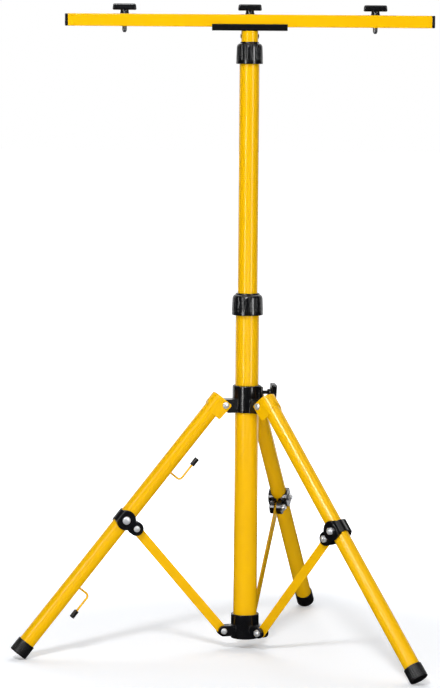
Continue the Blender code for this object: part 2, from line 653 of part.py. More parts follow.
def hook_mesh(direction):
    """A bent wire hook in its leg's frame, from the tube's side, then along the leg."""
    chord = math.sqrt(LEG_RADIUS ** 2 - HOOK_SIDE ** 2)
    root = LEG_OFFSET - chord - 2 * GAP - 0.0009
    bend_x = root - HOOK_REACH + HOOK_BEND
    points = [(root, 0.0)]
    for x, z in arc((bend_x, HOOK_BEND), HOOK_BEND, -90.0, -180.0, 6):
        points.append((x, direction * z))
    points.append((bend_x - HOOK_BEND, direction * HOOK_RUN))
    curve = bpy.data.curves.new("wire", "CURVE")
    curve.dimensions = "3D"
    curve.bevel_depth = HOOK_RADIUS
    curve.bevel_resolution = WIRE_RESOLUTION
    curve.use_fill_caps = True
    spline = curve.splines.new("POLY")
    spline.points.add(len(points) - 1)
    for point, (x, z) in zip(spline.points, points):
        point.co = (x, 0.0, z, 1.0)
    return welded(baked(working_object(curve))), bend_x - HOOK_BEND


def hook_tip_mesh():
    """The soft cap of a hook about the wire's end, its closed end along +Z."""
    outer = HOOK_TIP_DIAMETER / 2
    inner = HOOK_RADIUS + GAP
    top = HOOK_TIP_LENGTH - HOOK_TIP_DEPTH
    return turned([(0.0, top), (outer - 0.0020, top), (outer, top - 0.0020), (outer, -HOOK_TIP_DEPTH),
                   (inner, -HOOK_TIP_DEPTH), (inner, GAP), (0.0, GAP)], 12, closed=False)


def build_mast(coats):
    """The three tubes, the spider and what guides the tubes in each other."""
    main_bore = MAIN_RADIUS - MAIN_TUBE_WALL
    mid_bore = MID_RADIUS - MID_TUBE_WALL
    top_bore = TOP_RADIUS - TOP_TUBE_WALL
    add_piece("main_tube", ring(MAIN_RADIUS, main_bore, MAIN_TUBE_LENGTH, 0.0), coats["tube"],
              place=(0.0, 0.0, MAIN_TUBE_BOTTOM))
    add_piece("lower_spider", spider_mesh(), coats["moulding"], place=(0.0, 0.0, SPIDER_BOTTOM))
    add_piece("mid_tube", ring(MID_RADIUS, mid_bore, MID_TUBE_LENGTH, 0.0), coats["tube"],
              place=(0.0, 0.0, MID_TUBE_BOTTOM))
    add_piece("mid_tube_bush", bush_mesh(MID_RADIUS, main_bore), coats["bush"],
              place=(0.0, 0.0, MID_TUBE_BOTTOM - BUSH_FLANGE - GAP))
    tube = shaped(ring(TOP_RADIUS, top_bore, TOP_TUBE_LENGTH, 0.0),
                  [rod(RIVET_DIAMETER / 2 + GAP, 2 * TOP_TUBE_DIAMETER,
                       (0.0, 0.0, TOP_TUBE_LENGTH + GAP - RIVET_BELOW_CRADLE), "X")])
    add_piece("top_tube", tube, coats["tube"], place=(0.0, 0.0, TOP_TUBE_BOTTOM))
    add_piece("top_tube_bush", bush_mesh(TOP_RADIUS, mid_bore), coats["bush"],
              place=(0.0, 0.0, TOP_TUBE_BOTTOM - BUSH_FLANGE - GAP))


def build_lock(prefix, coats, outer_radius, inner_radius, tube_top, collar):
    """One twist lock: sleeve on the outer tube, wedge round the inner tube, collar over both."""
    bottom = tube_top - LOCK_OVERLAP
    sleeve_radius = outer_radius + GAP + LOCK_WALL
    add_piece(f"{prefix}_lock_sleeve", sleeve_mesh(outer_radius), coats["moulding"],
              place=(0.0, 0.0, bottom + 0.0010))
    add_piece(f"{prefix}_lock_wedge", wedge_mesh(inner_radius, sleeve_radius), coats["bush"],
              place=(0.0, 0.0, tube_top + 0.0020 + GAP))
    add_piece(f"{prefix}_lock_collar", collar_mesh(inner_radius, sleeve_radius, *collar), coats["moulding"],
              place=(0.0, 0.0, bottom))


def build_head(coats):
    """The cradle on the top tube, the crossbar with its plugs and nuts, and the three knobs."""
    add_piece("cradle", cradle_mesh(), coats["moulding"], place=(0.0, 0.0, CRADLE_BOTTOM))
    add_piece("neck_rivet", rivet_mesh(), coats["steel"],
              place=(0.0, 0.0, CRADLE_BOTTOM - RIVET_BELOW_CRADLE))
    add_piece("crossbar", crossbar_mesh(), coats["tube"], place=(0.0, 0.0, BAR_BOTTOM))
    middle = BAR_BOTTOM + BAR_HEIGHT / 2
    cap = cap_mesh()
    nut = nut_mesh()
    for name, side in (("left", -1.0), ("right", 1.0)):
        turn = (0.0, 0.0, 0.0 if side > 0.0 else math.pi)
        add_piece(f"end_cap_{name}", cap, coats["moulding"],
                  place=(side * BAR_LENGTH / 2, 0.0, middle), turn=turn)
        add_piece(f"square_nut_{name}", nut, coats["steel"],
                  place=(side * KNOB_SPACING, 0.0, BAR_BOTTOM + BAR_WALL + GAP))
    seat = BAR_TOP + GAP
    knob = knob_mesh(BAR_KNOB_SIZE, STUD_RADIUS)
    stud = stud_mesh(STUD_RADIUS, BAR_HEIGHT + GAP + STUD_BELOW_BAR)
    for name, x in (("left", -KNOB_SPACING), ("centre", 0.0), ("right", KNOB_SPACING)):
        pivot = add_pivot(f"knob_axis_{name}", (x, 0.0, seat))
        add_piece(f"knob_{name}", knob, coats["moulding"], pivot)
        add_piece(f"stud_{name}", stud, coats["steel"], pivot)


def build_hub(coats):
    """The sliding hub, its three pivot bolts and its locking knob."""
    hub = add_piece("hub", hub_mesh(), coats["moulding"], place=(0.0, 0.0, HUB_PIVOT_HEIGHT))
    pivot_bolt = rivet_bolt(HUB_BOLT_HEAD, BRACKET_WIDTH)
    for name, azimuth in LEG_AZIMUTHS.items():
        place = (HUB_PIVOT_RADIUS * math.cos(azimuth), HUB_PIVOT_RADIUS * math.sin(azimuth), 0.0)
        add_piece(f"hub_bolt_{name}", pivot_bolt, coats["steel"], hub, place, (0.0, 0.0, azimuth))
    reach = HUB_DIAMETER / 2 + HUB_BOSS_PROUD + HUB_KNOB_STANDOFF
    knob_axis = add_pivot(
        "hub_knob_axis",
        (reach * math.cos(HUB_KNOB_AZIMUTH), reach * math.sin(HUB_KNOB_AZIMUTH), HUB_SCREW_HEIGHT),
        (0.0, math.pi / 2, HUB_KNOB_AZIMUTH))
    turn = (0.0, 0.0, HUB_KNOB_TURN)
    screw = stud_mesh(HUB_SCREW_RADIUS, reach - MAIN_RADIUS - HUB_SLIDING_GAP)
    knob = knob_mesh(HUB_KNOB_SIZE, HUB_SCREW_RADIUS)
    add_piece("hub_knob", knob, coats["moulding"], knob_axis, turn=turn)
    add_piece("hub_knob_screw", screw, coats["steel"], knob_axis, turn=turn)


def build_legs(coats):
    """The three legs with their brackets, caps, clamps and bolts, and the three struts."""
    clamp_bolt = nut_bolt(CLAMP_BOLT_HEAD, CLAMP_WIDTH)
    strut_bolt = nut_bolt(STRUT_BOLT_HEAD, LOBE_WIDTH)
    meshes = {
        "leg_tube": (leg_tube_mesh(), "tube", (0.0, 0.0, 0.0)),
        "leg_bracket": (bracket_mesh(), "tube", (0.0, 0.0, 0.0)),
        "leg_foot": (foot_mesh(), "rubber", (LEG_OFFSET, 0.0, -LEG_LENGTH)),
        "leg_clamp": (clamp_mesh(), "moulding", (LEG_OFFSET, 0.0, -CLAMP_DISTANCE)),
        "clamp_bolt": (clamp_bolt, "steel", (LEG_OFFSET, 0.0, -CLAMP_DISTANCE)),
        "strut_bolt": (strut_bolt, "steel", (CLAMP_PIVOT_X, 0.0, -CLAMP_DISTANCE)),
    }
    free_strut = strut_mesh(OPEN_PIVOT_GAP)
    struts = {"rear": strut_mesh(GAP), "left": free_strut, "right": free_strut}
    spider_bolt = nut_bolt(SPIDER_BOLT_HEAD, LUG_WIDTH)
    legs = {}
    for name, azimuth in LEG_AZIMUTHS.items():
        across, along = math.cos(azimuth), math.sin(azimuth)
        legs[name] = add_pivot(f"leg_pivot_{name}",
                               (HUB_PIVOT_RADIUS * across, HUB_PIVOT_RADIUS * along, HUB_PIVOT_HEIGHT),
                               (0.0, -LEG_ANGLE, azimuth))
        for kind, (mesh, coat, place) in meshes.items():
            add_piece(f"{kind}_{name}", mesh, coats[coat], legs[name], place)
        lug = (LUG_PIVOT_RADIUS * across, LUG_PIVOT_RADIUS * along, LUG_PIVOT_HEIGHT)
        add_piece(f"spider_bolt_{name}", spider_bolt, coats["steel"], place=lug, turn=(0.0, 0.0, azimuth))
        strut_pivot = add_pivot(f"strut_pivot_{name}", lug, (0.0, STRUT_ANGLE, azimuth))
        add_piece(f"strut_{name}", struts[name], coats["tube"], strut_pivot)
    return legs


def build_hooks(coats, leg):
    """The two cable hooks of one leg: the upper opens upwards and the lower downwards."""
    tip = hook_tip_mesh()
    for name, distance, direction in (("upper", UPPER_HOOK_DISTANCE, 1.0),
                                      ("lower", LOWER_HOOK_DISTANCE, -1.0)):
        wire, run_x = hook_mesh(direction)
        add_piece(f"cable_hook_{name}", wire, coats["tube"], leg, (0.0, HOOK_SIDE, -distance))
        turn = (0.0 if direction > 0.0 else math.pi, 0.0, 0.0)
        add_piece(f"hook_tip_{name}", tip, coats["rubber"], leg,
                  (run_x, HOOK_SIDE, direction * HOOK_RUN - distance), turn)


def main():
    """Builds the whole tripod."""
    clear_scene()
    bpy.context.scene.collection.children.link(parts)
    coats = {
        "tube": material("yellow_powder_coat", YELLOW_COAT),
        "moulding": material("black_moulding", BLACK_PLASTIC),
        "rubber": material("black_rubber", BLACK_RUBBER),
        "steel": material("zinc_plated_steel", ZINC_STEEL),
        "bush": material("white_nylon", WHITE_NYLON),
    }
    build_mast(coats)
    build_lock("lower", coats, MAIN_RADIUS, MID_RADIUS, MAIN_TUBE_TOP,
               (LOWER_COLLAR_WALL, LOWER_COLLAR_LIP, LOWER_COLLAR_SHOULDER))
    build_lock("upper", coats, MID_RADIUS, TOP_RADIUS, MID_TUBE_TOP,
               (UPPER_COLLAR_WALL, UPPER_COLLAR_LIP, UPPER_COLLAR_SHOULDER))
    build_head(coats)
    build_hub(coats)
    legs = build_legs(coats)
    build_hooks(coats, legs["left"])


main()
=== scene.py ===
"""Telescopic light tripod: the pieces that show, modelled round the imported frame, with their finishes.

Metres, +Z up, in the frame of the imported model. Each class is one group of the tripod's pieces.
"""

import json
import logging
import math
from dataclasses import dataclass, replace
from enum import Enum

import bpy
from mathutils import Matrix, Vector

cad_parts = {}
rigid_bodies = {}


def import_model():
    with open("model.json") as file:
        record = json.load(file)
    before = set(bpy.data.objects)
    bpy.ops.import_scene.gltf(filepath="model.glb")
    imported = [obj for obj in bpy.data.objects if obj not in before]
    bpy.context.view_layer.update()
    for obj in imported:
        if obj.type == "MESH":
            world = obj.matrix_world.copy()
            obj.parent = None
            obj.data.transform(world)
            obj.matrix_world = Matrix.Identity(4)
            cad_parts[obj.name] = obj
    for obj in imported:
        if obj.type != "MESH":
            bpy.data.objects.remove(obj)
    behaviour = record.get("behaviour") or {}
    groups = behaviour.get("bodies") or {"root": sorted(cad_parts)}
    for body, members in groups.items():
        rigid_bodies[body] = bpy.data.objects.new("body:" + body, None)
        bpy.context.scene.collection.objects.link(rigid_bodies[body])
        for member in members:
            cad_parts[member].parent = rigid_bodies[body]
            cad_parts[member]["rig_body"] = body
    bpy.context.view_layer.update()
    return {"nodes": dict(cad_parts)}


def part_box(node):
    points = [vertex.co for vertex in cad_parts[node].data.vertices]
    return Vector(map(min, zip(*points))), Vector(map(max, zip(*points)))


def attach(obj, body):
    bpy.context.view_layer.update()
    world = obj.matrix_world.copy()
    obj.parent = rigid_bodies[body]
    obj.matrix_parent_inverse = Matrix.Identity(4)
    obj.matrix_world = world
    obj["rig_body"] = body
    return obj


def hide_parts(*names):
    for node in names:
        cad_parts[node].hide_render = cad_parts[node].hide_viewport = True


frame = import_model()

LOG = logging.getLogger("tripod")

Pair = tuple[float, float]
Triple = tuple[float, float, float]
Outline = list[Pair]
Piece = bpy.types.Object
Material = bpy.types.Material
Tree = bpy.types.NodeTree
Socket = bpy.types.NodeSocket

ROUND_STEPS = 96
SMALL_STEPS = 36
SMOOTH_ANGLE = math.radians(38.0)
WELD_DISTANCE = 0.00001
TINY_SIDE = 0.00004
TUBE_EDGE = 0.00025
GAP = 0.0003
DRILL_LENGTH = 0.06
QUARTER = math.pi / 2
ORIGIN = (0.0, 0.0, 0.0)


def shift(x: float = 0.0, y: float = 0.0, z: float = 0.0) -> Matrix:
    """The place that far from the origin."""
    return Matrix.Translation((x, y, z))


def rotation(angle: float, axis: str = "Z") -> Matrix:
    """A rotation about an axis through the origin."""
    return Matrix.Rotation(angle, 4, axis)


class Axis(Enum):
    """The direction in which a rod or a drill runs."""

    X = rotation(QUARTER, "Y")
    Y = rotation(QUARTER, "X")
    Z = Matrix.Identity(4)


class Shaping(Enum):
    """What a tool does to the piece that it is applied to."""

    JOIN = "UNION"
    CUT = "DIFFERENCE"
    SHARE = "INTERSECT"


class Slot(Enum):
    """The record's material slots."""

    YELLOW = "yellow_coat"
    BLACK = "black_moulding"
    RUBBER = "black_rubber"
    ZINC = "zinc_steel"
    NYLON = "white_nylon"


# Outlines


def arc(centre: Pair, radius: float, start: float, end: float, steps: int = 12) -> Outline:
    """Points along an arc from the start angle to the end angle in degrees, in this many chords."""
    angles = [math.radians(start + (end - start) * n / steps) for n in range(steps + 1)]
    return [(centre[0] + radius * math.cos(a), centre[1] + radius * math.sin(a)) for a in angles]


def rounded(outline: Outline, radius: float, closed: bool = True, steps: int = 4) -> Outline:
    """Rounds the corners of an outline.

    Args:
        outline: The corners in order.
        radius: The wanted radius, which shrinks at a side that is too short for it.
        closed: Whether the last corner joins the first. An open outline keeps its two ends.
        steps: How many chords each rounded corner has.

    Returns:
        The outline with an arc at each corner.
    """
    points = [Vector(point) for point in outline]
    result: Outline = []
    for index, corner in enumerate(points):
        if not closed and index in (0, len(points) - 1):
            result.append(tuple(corner))
            continue
        back = points[index - 1] - corner
        ahead = points[(index + 1) % len(points)] - corner
        half = back.angle(ahead) / 2
        if half > math.radians(85.0):
            result.append(tuple(corner))
            continue
        cut = min(radius / math.tan(half), 0.45 * back.length, 0.45 * ahead.length)
        first = corner + back.normalized() * cut
        last = corner + ahead.normalized() * cut
        for step in range(steps + 1):
            share = step / steps
            result.append(tuple(first * (1 - share) ** 2 + corner * (2 * share * (1 - share))
                                + last * share ** 2))
    return result


# The bench: what each piece is modelled with


def switch_mode(mode: str) -> None:
    """Goes to edit mode or back to object mode."""
    bpy.ops.object.mode_set(mode=mode)


def select_mesh(action: str = "SELECT") -> None:
    """Selects the whole mesh in edit mode, or nothing of it."""
    bpy.ops.mesh.select_all(action=action)


def deselect_all() -> None:
    """Leaves nothing selected, in object mode."""
    if bpy.context.mode != "OBJECT":
        switch_mode("OBJECT")
    bpy.ops.object.select_all(action="DESELECT")


def take(piece: Piece) -> None:
    """Makes one piece the only selected one, and the active one."""
    deselect_all()
    piece.select_set(True)
    bpy.context.view_layer.objects.active = piece


def apply_modifier(piece: Piece, kind: str, **settings: object) -> None:
    """Adds a modifier and applies it.

    Args:
        piece: What it works on.
        kind: Blender's name for the modifier.
        settings: Its settings by name.
    """
    modifier = piece.modifiers.new(kind.lower(), kind)
    for name, value in settings.items():
        setattr(modifier, name, value)
    take(piece)
    bpy.ops.object.modifier_apply(modifier=modifier.name)


def trace(points: list[Vector]) -> Piece:
    """Draws a chain of edges by extruding one corner from point to point.

    Args:
        points: Where the chain goes.

    Returns:
        The new piece, in edit mode with the whole chain selected.
    """
    deselect_all()
    bpy.ops.mesh.primitive_plane_add(size=0.01)
    switch_mode("EDIT")
    bpy.ops.mesh.merge(type="CENTER")
    bpy.ops.transform.translate(value=points[0])
    for before, after in zip(points, points[1:]):
        bpy.ops.mesh.extrude_vertices_move(TRANSFORM_OT_translate={"value": after - before})
    select_mesh()
    return bpy.context.object


def close_up(piece: Piece) -> Piece:
    """Merges the doubles of a piece in edit mode and turns its faces outwards."""
    select_mesh()
    bpy.ops.mesh.remove_doubles(threshold=WELD_DISTANCE)
    bpy.ops.mesh.normals_make_consistent(inside=False)
    switch_mode("OBJECT")
    return piece


def lathe(outline: Outline, steps: int = ROUND_STEPS) -> Piece:
    """Spins an outline about Z into a solid.

    Args:
        outline: (radius, height) points. One that doesn't begin on the axis is closed on itself.
        steps: How many sides the solid has.

    Returns:
        The turned piece.
    """
    closing = [] if outline[0][0] < WELD_DISTANCE else outline[:1]
    piece = trace([Vector((radius, 0.0, height)) for radius, height in outline + closing])
    bpy.ops.mesh.spin(steps=steps, angle=2 * math.pi, center=ORIGIN, axis=(0.0, 0.0, 1.0))
    return close_up(piece)


def prism(outline: Outline, thickness: float) -> Piece:
    """Fills a flat outline and extrudes it.

    Args:
        outline: (x, z) points.
        thickness: The size along Y, half of it to each side of the XZ plane.

    Returns:
        The extruded piece.
    """
    piece = trace([Vector((x, thickness / 2, z)) for x, z in outline])
    bpy.ops.mesh.edge_face_add()
    select_mesh()
    bpy.ops.mesh.extrude_region_move(TRANSFORM_OT_translate={"value": (0.0, -thickness, 0.0)})
    return close_up(piece)


def rod(radius: float, length: float, centre: Triple = ORIGIN, axis: Axis = Axis.Z,
        sides: int = ROUND_STEPS) -> Piece:
    """A round bar that is joined to a piece, or drilled out of it."""
    deselect_all()
    bpy.ops.mesh.primitive_cylinder_add(vertices=sides, radius=radius, depth=length)
    return placed(bpy.context.object, shift(*centre) @ axis.value)


def block(size: Triple, centre: Triple = ORIGIN) -> Piece:
    """A square block that is joined to a piece, or cut out of it."""
    deselect_all()
    bpy.ops.mesh.primitive_cube_add(size=1.0)
    return placed(bpy.context.object, shift(*centre) @ Matrix.Diagonal((*size, 1.0)))


def drawn_tube(radius: float, wall: float, bottom: float, top: float) -> Piece:
    """A plain drawn tube with broken edges."""
    outline = [(radius, top), (radius, bottom), (radius - wall, bottom), (radius - wall, top)]
    return lathe(rounded(outline, TUBE_EDGE, steps=2))


def placed(piece: Piece, place: Matrix) -> Piece:
    """Moves a piece, and leaves its place in its mesh."""
    take(piece)
    piece.matrix_world = place
    bpy.ops.object.transform_apply(location=True, rotation=True, scale=True)
    return piece


def copied(piece: Piece, place: Matrix) -> Piece:
    """A copy of a piece with its own mesh, at another place."""
    take(piece)
    bpy.ops.object.duplicate(linked=False)
    return placed(bpy.context.object, place)


def combine(piece: Piece, shaping: Shaping, *tools: Piece) -> Piece:
    """Joins tools to a piece, cuts them from it or keeps what they share, and clears them away."""
    for tool in tools:
        apply_modifier(piece, "BOOLEAN", operation=shaping.value, solver="EXACT", object=tool)
        bpy.data.objects.remove(tool)
    return piece


def softened(piece: Piece, width: float, segments: int = 3, angle: float = 38.0) -> Piece:
    """Rounds the sharp edges of a piece.

    Args:
        piece: What is rounded.
        width: How wide each rounded edge is.
        segments: How many facets it has.
        angle: Edges that turn by less than this many degrees stay.

    Returns:
        The same piece.
    """
    take(piece)
    switch_mode("EDIT")
    select_mesh()
    bpy.ops.mesh.remove_doubles(threshold=TINY_SIDE)
    bpy.ops.mesh.dissolve_limited(angle_limit=math.radians(0.5))
    switch_mode("OBJECT")
    apply_modifier(piece, "BEVEL", width=width, segments=segments, limit_method="ANGLE",
                   angle_limit=math.radians(angle), use_clamp_overlap=False, miter_outer="MITER_ARC")
    return piece


def shaded(piece: Piece) -> Piece:
    """Shades a piece smooth, with its flat faces kept flat."""
    take(piece)
    bpy.ops.object.shade_smooth_by_angle(angle=SMOOTH_ANGLE)
    apply_modifier(piece, "WEIGHTED_NORMAL", keep_sharp=True, weight=60)
    return piece


# Finishes


def linear(hex_colour: str) -> tuple[float, float, float, float]:
    """Turns an sRGB hex colour to the linear values of a shader's socket."""
    channels = [int(hex_colour[n:n + 2], 16) / 255 for n in (1, 3, 5)]
    return (*[c / 12.92 if c <= 0.04045 else ((c + 0.055) / 1.055) ** 2.4 for c in channels], 1.0)


def add_node(tree: Tree, kind: str, inputs: dict[str | int, object] | None = None,
             **settings: object) -> bpy.types.Node:
    """Adds a node with its settings and links.

    Args:
        tree: The material's node tree.
        kind: Blender's name for the node.
        inputs: A value, or the output that is linked, for each input by name or number.
        settings: The node's own settings by name.

    Returns:
        The new node.
    """
    node = tree.nodes.new(kind)
    for name, value in settings.items():
        setattr(node, name, value)
    for key, value in (inputs or {}).items():
        if isinstance(value, Socket):
            tree.links.new(value, node.inputs[key])
        else:
            node.inputs[key].default_value = value
    return node


def calculated(tree: Tree, operation: str, *values: object) -> Socket:
    """The result of one operation of arithmetic on outputs and numbers."""
    return add_node(tree, "ShaderNodeMath", dict(enumerate(values)), operation=operation).outputs[0]


def mapped(tree: Tree, value: Socket, source: Pair, target: Pair = (0.0, 1.0),
           **settings: object) -> Socket:
    """A value carried over from one range to another."""
    return add_node(tree, "ShaderNodeMapRange", {
        "Value": value, "From Min": source[0], "From Max": source[1], "To Min": target[0],
        "To Max": target[1]}, **settings).outputs["Result"]


def mixed(tree: Tree, share: Socket, first: object, second: object) -> Socket:
    """Two colours mixed by a share, through the colour sockets' numbers."""
    factor, colour_a, colour_b, result = 0, 6, 7, 2
    inputs = {factor: share, colour_a: first, colour_b: second}
    return add_node(tree, "ShaderNodeMix", inputs, data_type="RGBA").outputs[result]


def noise(tree: Tree, where: Socket, scale: float, detail: float) -> Socket:
    """A noise with about this many lumps to a metre."""
    return add_node(tree, "ShaderNodeTexNoise", {
        "Vector": where, "Scale": scale, "Detail": detail}).outputs["Fac"]


def object_place(tree: Tree) -> Socket:
    """Where on the object the shaded point is."""
    return add_node(tree, "ShaderNodeTexCoord").outputs["Object"]


@dataclass(frozen=True)
class Finish:
    """A surface: two shades in soft clouds, a grain with its relief, and marks of a third shade."""

    name: str
    slot: Slot
    shades: tuple[str, str, str]
    roughness: Pair
    cloud_size: float
    grain_size: float
    grain_relief: float
    mark_size: float
    mark_share: float
    metallic: float = 0.0
    ior: float = 1.5
    specular: float = 0.5

    def material(self) -> Material:
        """Builds the node material, or gives the one that is already built."""
        if self.name in bpy.data.materials:
            return bpy.data.materials[self.name]
        made = bpy.data.materials.new(self.name)
        made.use_nodes = True
        tree = made.node_tree
        shader = tree.nodes["Principled BSDF"]
        shader.inputs["Metallic"].default_value = self.metallic
        shader.inputs["IOR"].default_value = self.ior
        shader.inputs["Specular IOR Level"].default_value = self.specular
        where = object_place(tree)
        plain, cloudy, rubbed = (linear(shade) for shade in self.shades)
        clouds = noise(tree, where, 1.0 / self.cloud_size, 3.0)
        grain = noise(tree, where, 1.0 / self.grain_size, 2.0)
        marks = noise(tree, where, 1.0 / self.mark_size, 8.0)
        marked = mapped(tree, marks, (1.0 - self.mark_share, 1.06 - self.mark_share))
        clouded = mixed(tree, clouds, plain, cloudy)
        gloss = mapped(tree, grain, (0.3, 0.7), self.roughness)
        relief = add_node(tree, "ShaderNodeBump", {
            "Strength": 1.0, "Distance": self.grain_relief, "Height": grain})
        links = {"Base Color": mixed(tree, marked, clouded, rubbed),
                 "Roughness": calculated(tree, "MULTIPLY_ADD", marked, 0.12, gloss),
                 "Normal": relief.outputs["Normal"]}
        for name, output in links.items():
            tree.links.new(output, shader.inputs[name])
        return made


# Polyester powder coat on steel: a deep amber with a low orange peel. The real peel is about 1.5 mm
# across and hardly shows at this distance, so it is drawn at 3 mm.
POWDER_COAT = Finish(
    "powder_coated_steel", Slot.YELLOW, ("#F6BE00", "#F0B400", "#DC9C00"), roughness=(0.17, 0.24),
    cloud_size=0.090, grain_size=0.0030, grain_relief=0.0000035, mark_size=0.014, mark_share=0.27,
    specular=0.25)
# Glass-filled nylon, injection moulded: nearly black, satin, with the grain of an eroded mould.
MOULDED_NYLON = Finish(
    "moulded_glass_filled_nylon", Slot.BLACK, ("#0B0B0D", "#101013", "#222226"), roughness=(0.15, 0.25),
    cloud_size=0.030, grain_size=0.0011, grain_relief=0.000004, mark_size=0.006, mark_share=0.28)
# Soft black PVC, dip moulded: duller than the nylon, with pale rubbed marks.
SOFT_RUBBER = Finish(
    "dip_moulded_rubber", Slot.RUBBER, ("#0F0F10", "#151516", "#302F2E"), roughness=(0.32, 0.45),
    cloud_size=0.020, grain_size=0.0014, grain_relief=0.00003, mark_size=0.005, mark_share=0.30,
    specular=0.35)
# Bright zinc plate on cold-headed steel: clear metal with cloudy spangle and small dull spots.
ZINC_PLATE = Finish(
    "bright_zinc_plate", Slot.ZINC, ("#E9EAEC", "#DADCDF", "#A9ABB0"), roughness=(0.28, 0.42),
    cloud_size=0.004, grain_size=0.0006, grain_relief=0.000005, mark_size=0.003, mark_share=0.30,
    metallic=0.6)
# Blackened steel: the zinc slot's second look, for the screw of the hub's knob.
BLACKENED_STEEL = replace(
    ZINC_PLATE, name="blackened_steel", shades=("#1D1D20", "#28282C", "#3D3D42"), grain_relief=0.000004,
    metallic=1.0)
# Darker zinc with painted shade: the same slot's third look, a shaded copy of the bright zinc for the
# threaded studs under the bar, whose flanks look darker.
SHADED_THREAD_ZINC = replace(
    ZINC_PLATE, name="zinc_on_threads_painted_shade", shades=("#8C8D90", "#77787C", "#5A5B60"), roughness=(0.30, 0.44),
    metallic=1.0)
# Natural nylon, turned: milky, with faint tool marks.
TURNED_NYLON = Finish(
    "turned_natural_nylon", Slot.NYLON, ("#E9E5D8", "#DDD8C8", "#C9C3B2"), roughness=(0.38, 0.50),
    cloud_size=0.012, grain_size=0.0010, grain_relief=0.000006, mark_size=0.004, mark_share=0.27,
    ior=1.53)


def dress(piece: Piece, node: str, finish: Finish) -> Piece:
    """Hands a finished piece to the frame in place of the CAD node that it stands for.

    Args:
        piece: The modelled piece, in its place.
        node: The CAD node's name.
        finish: Its surface.

    Returns:
        The same piece, named after the node.
    """
    piece.name = f"{node}_detailed"
    piece.data.name = piece.name
    piece.data.materials.clear()
    piece.data.materials.append(finish.material())
    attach(piece, frame["nodes"][node]["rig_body"])
    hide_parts(node)
    LOG.info("%s: %d faces", piece.name, len(piece.data.polygons))
    return piece


def dress_each(model: Piece, finish: Finish, places: dict[str, Matrix]) -> None:
    """Dresses a copy of a model for each of these nodes, at its place, and clears the model away."""
    for node, place in places.items():
        dress(copied(model, place), node, finish)
    bpy.data.objects.remove(model)


def repaint(node: str, finish: Finish) -> None:
    """Gives a CAD node that stays its finish."""
    kept = frame["nodes"][node]
    kept.data.materials.clear()
    kept.data.materials.append(finish.material())
    LOG.info("%s: kept", node)


# The tripod's layout, as in the CAD


@dataclass(frozen=True)
class Layout:
    """The places that several groups share: the mast's radii and where the linkage's pivots are."""

    main_radius: float = 0.019
    mid_radius: float = 0.016
    top_radius: float = 0.0135
    main_wall: float = 0.0012
    inner_wall: float = 0.0010
    hub_pivot_radius: float = 0.039
    hub_pivot_height: float = 0.40063
    lug_pivot_radius: float = 0.0375
    lug_pivot_height: float = 0.0303
    leg_angle: float = math.radians(39.5)
    leg_radius: float = 0.0130
    leg_offset: float = 0.011
    leg_length: float = 0.517
    clamp_distance: float = 0.244
    clamp_pivot_x: float = -0.0130
    strut_width: float = 0.0155
    strut_thickness: float = 0.003
    bolt_radius: float = 0.003

    @property
    def azimuths(self) -> dict[str, float]:
        """The direction of each leg about the mast."""
        return {"rear": math.radians(73.5), "left": math.radians(196.0), "right": math.radians(-44.5)}

    @property
    def clamp_pivot(self) -> Pair:
        """How far out and how high the upper ends of the struts are."""
        across, down = self.clamp_pivot_x, self.clamp_distance
        sine, cosine = math.sin(self.leg_angle), math.cos(self.leg_angle)
        return (self.hub_pivot_radius + across * cosine + down * sine,
                self.hub_pivot_height + across * sine - down * cosine)

    @property
    def strut_length(self) -> float:
        """From eye to eye."""
        out, up = self.clamp_pivot
        return math.hypot(out - self.lug_pivot_radius, up - self.lug_pivot_height)

    def about_mast(self, azimuth: float, radius: float = 0.0, height: float = 0.0,
                   lean: float = 0.0) -> Matrix:
        """The place at a radius and a height in a direction about the mast, leaning outwards."""
        return rotation(azimuth) @ shift(radius, z=height) @ rotation(lean, "Y")

    def round_mast(self, kind: str, radius: float, height: float) -> dict[str, Matrix]:
        """The places of the three nodes of a kind, at a radius and a height about the mast."""
        return {f"{kind}_{name}": self.about_mast(azimuth, radius, height)
                for name, azimuth in self.azimuths.items()}

    def leg(self, name: str) -> Matrix:
        """The frame of a leg: its hub pivot, with the leg running down -Z."""
        return self.about_mast(self.azimuths[name], self.hub_pivot_radius, self.hub_pivot_height,
                               -self.leg_angle)

    def strut(self, name: str) -> Matrix:
        """The frame of a strut: its lower eye, with the strut running up +Z."""
        out, up = self.clamp_pivot
        lean = math.atan2(out - self.lug_pivot_radius, up - self.lug_pivot_height)
        return self.about_mast(self.azimuths[name], self.lug_pivot_radius, self.lug_pivot_height, lean)


LAYOUT = Layout()


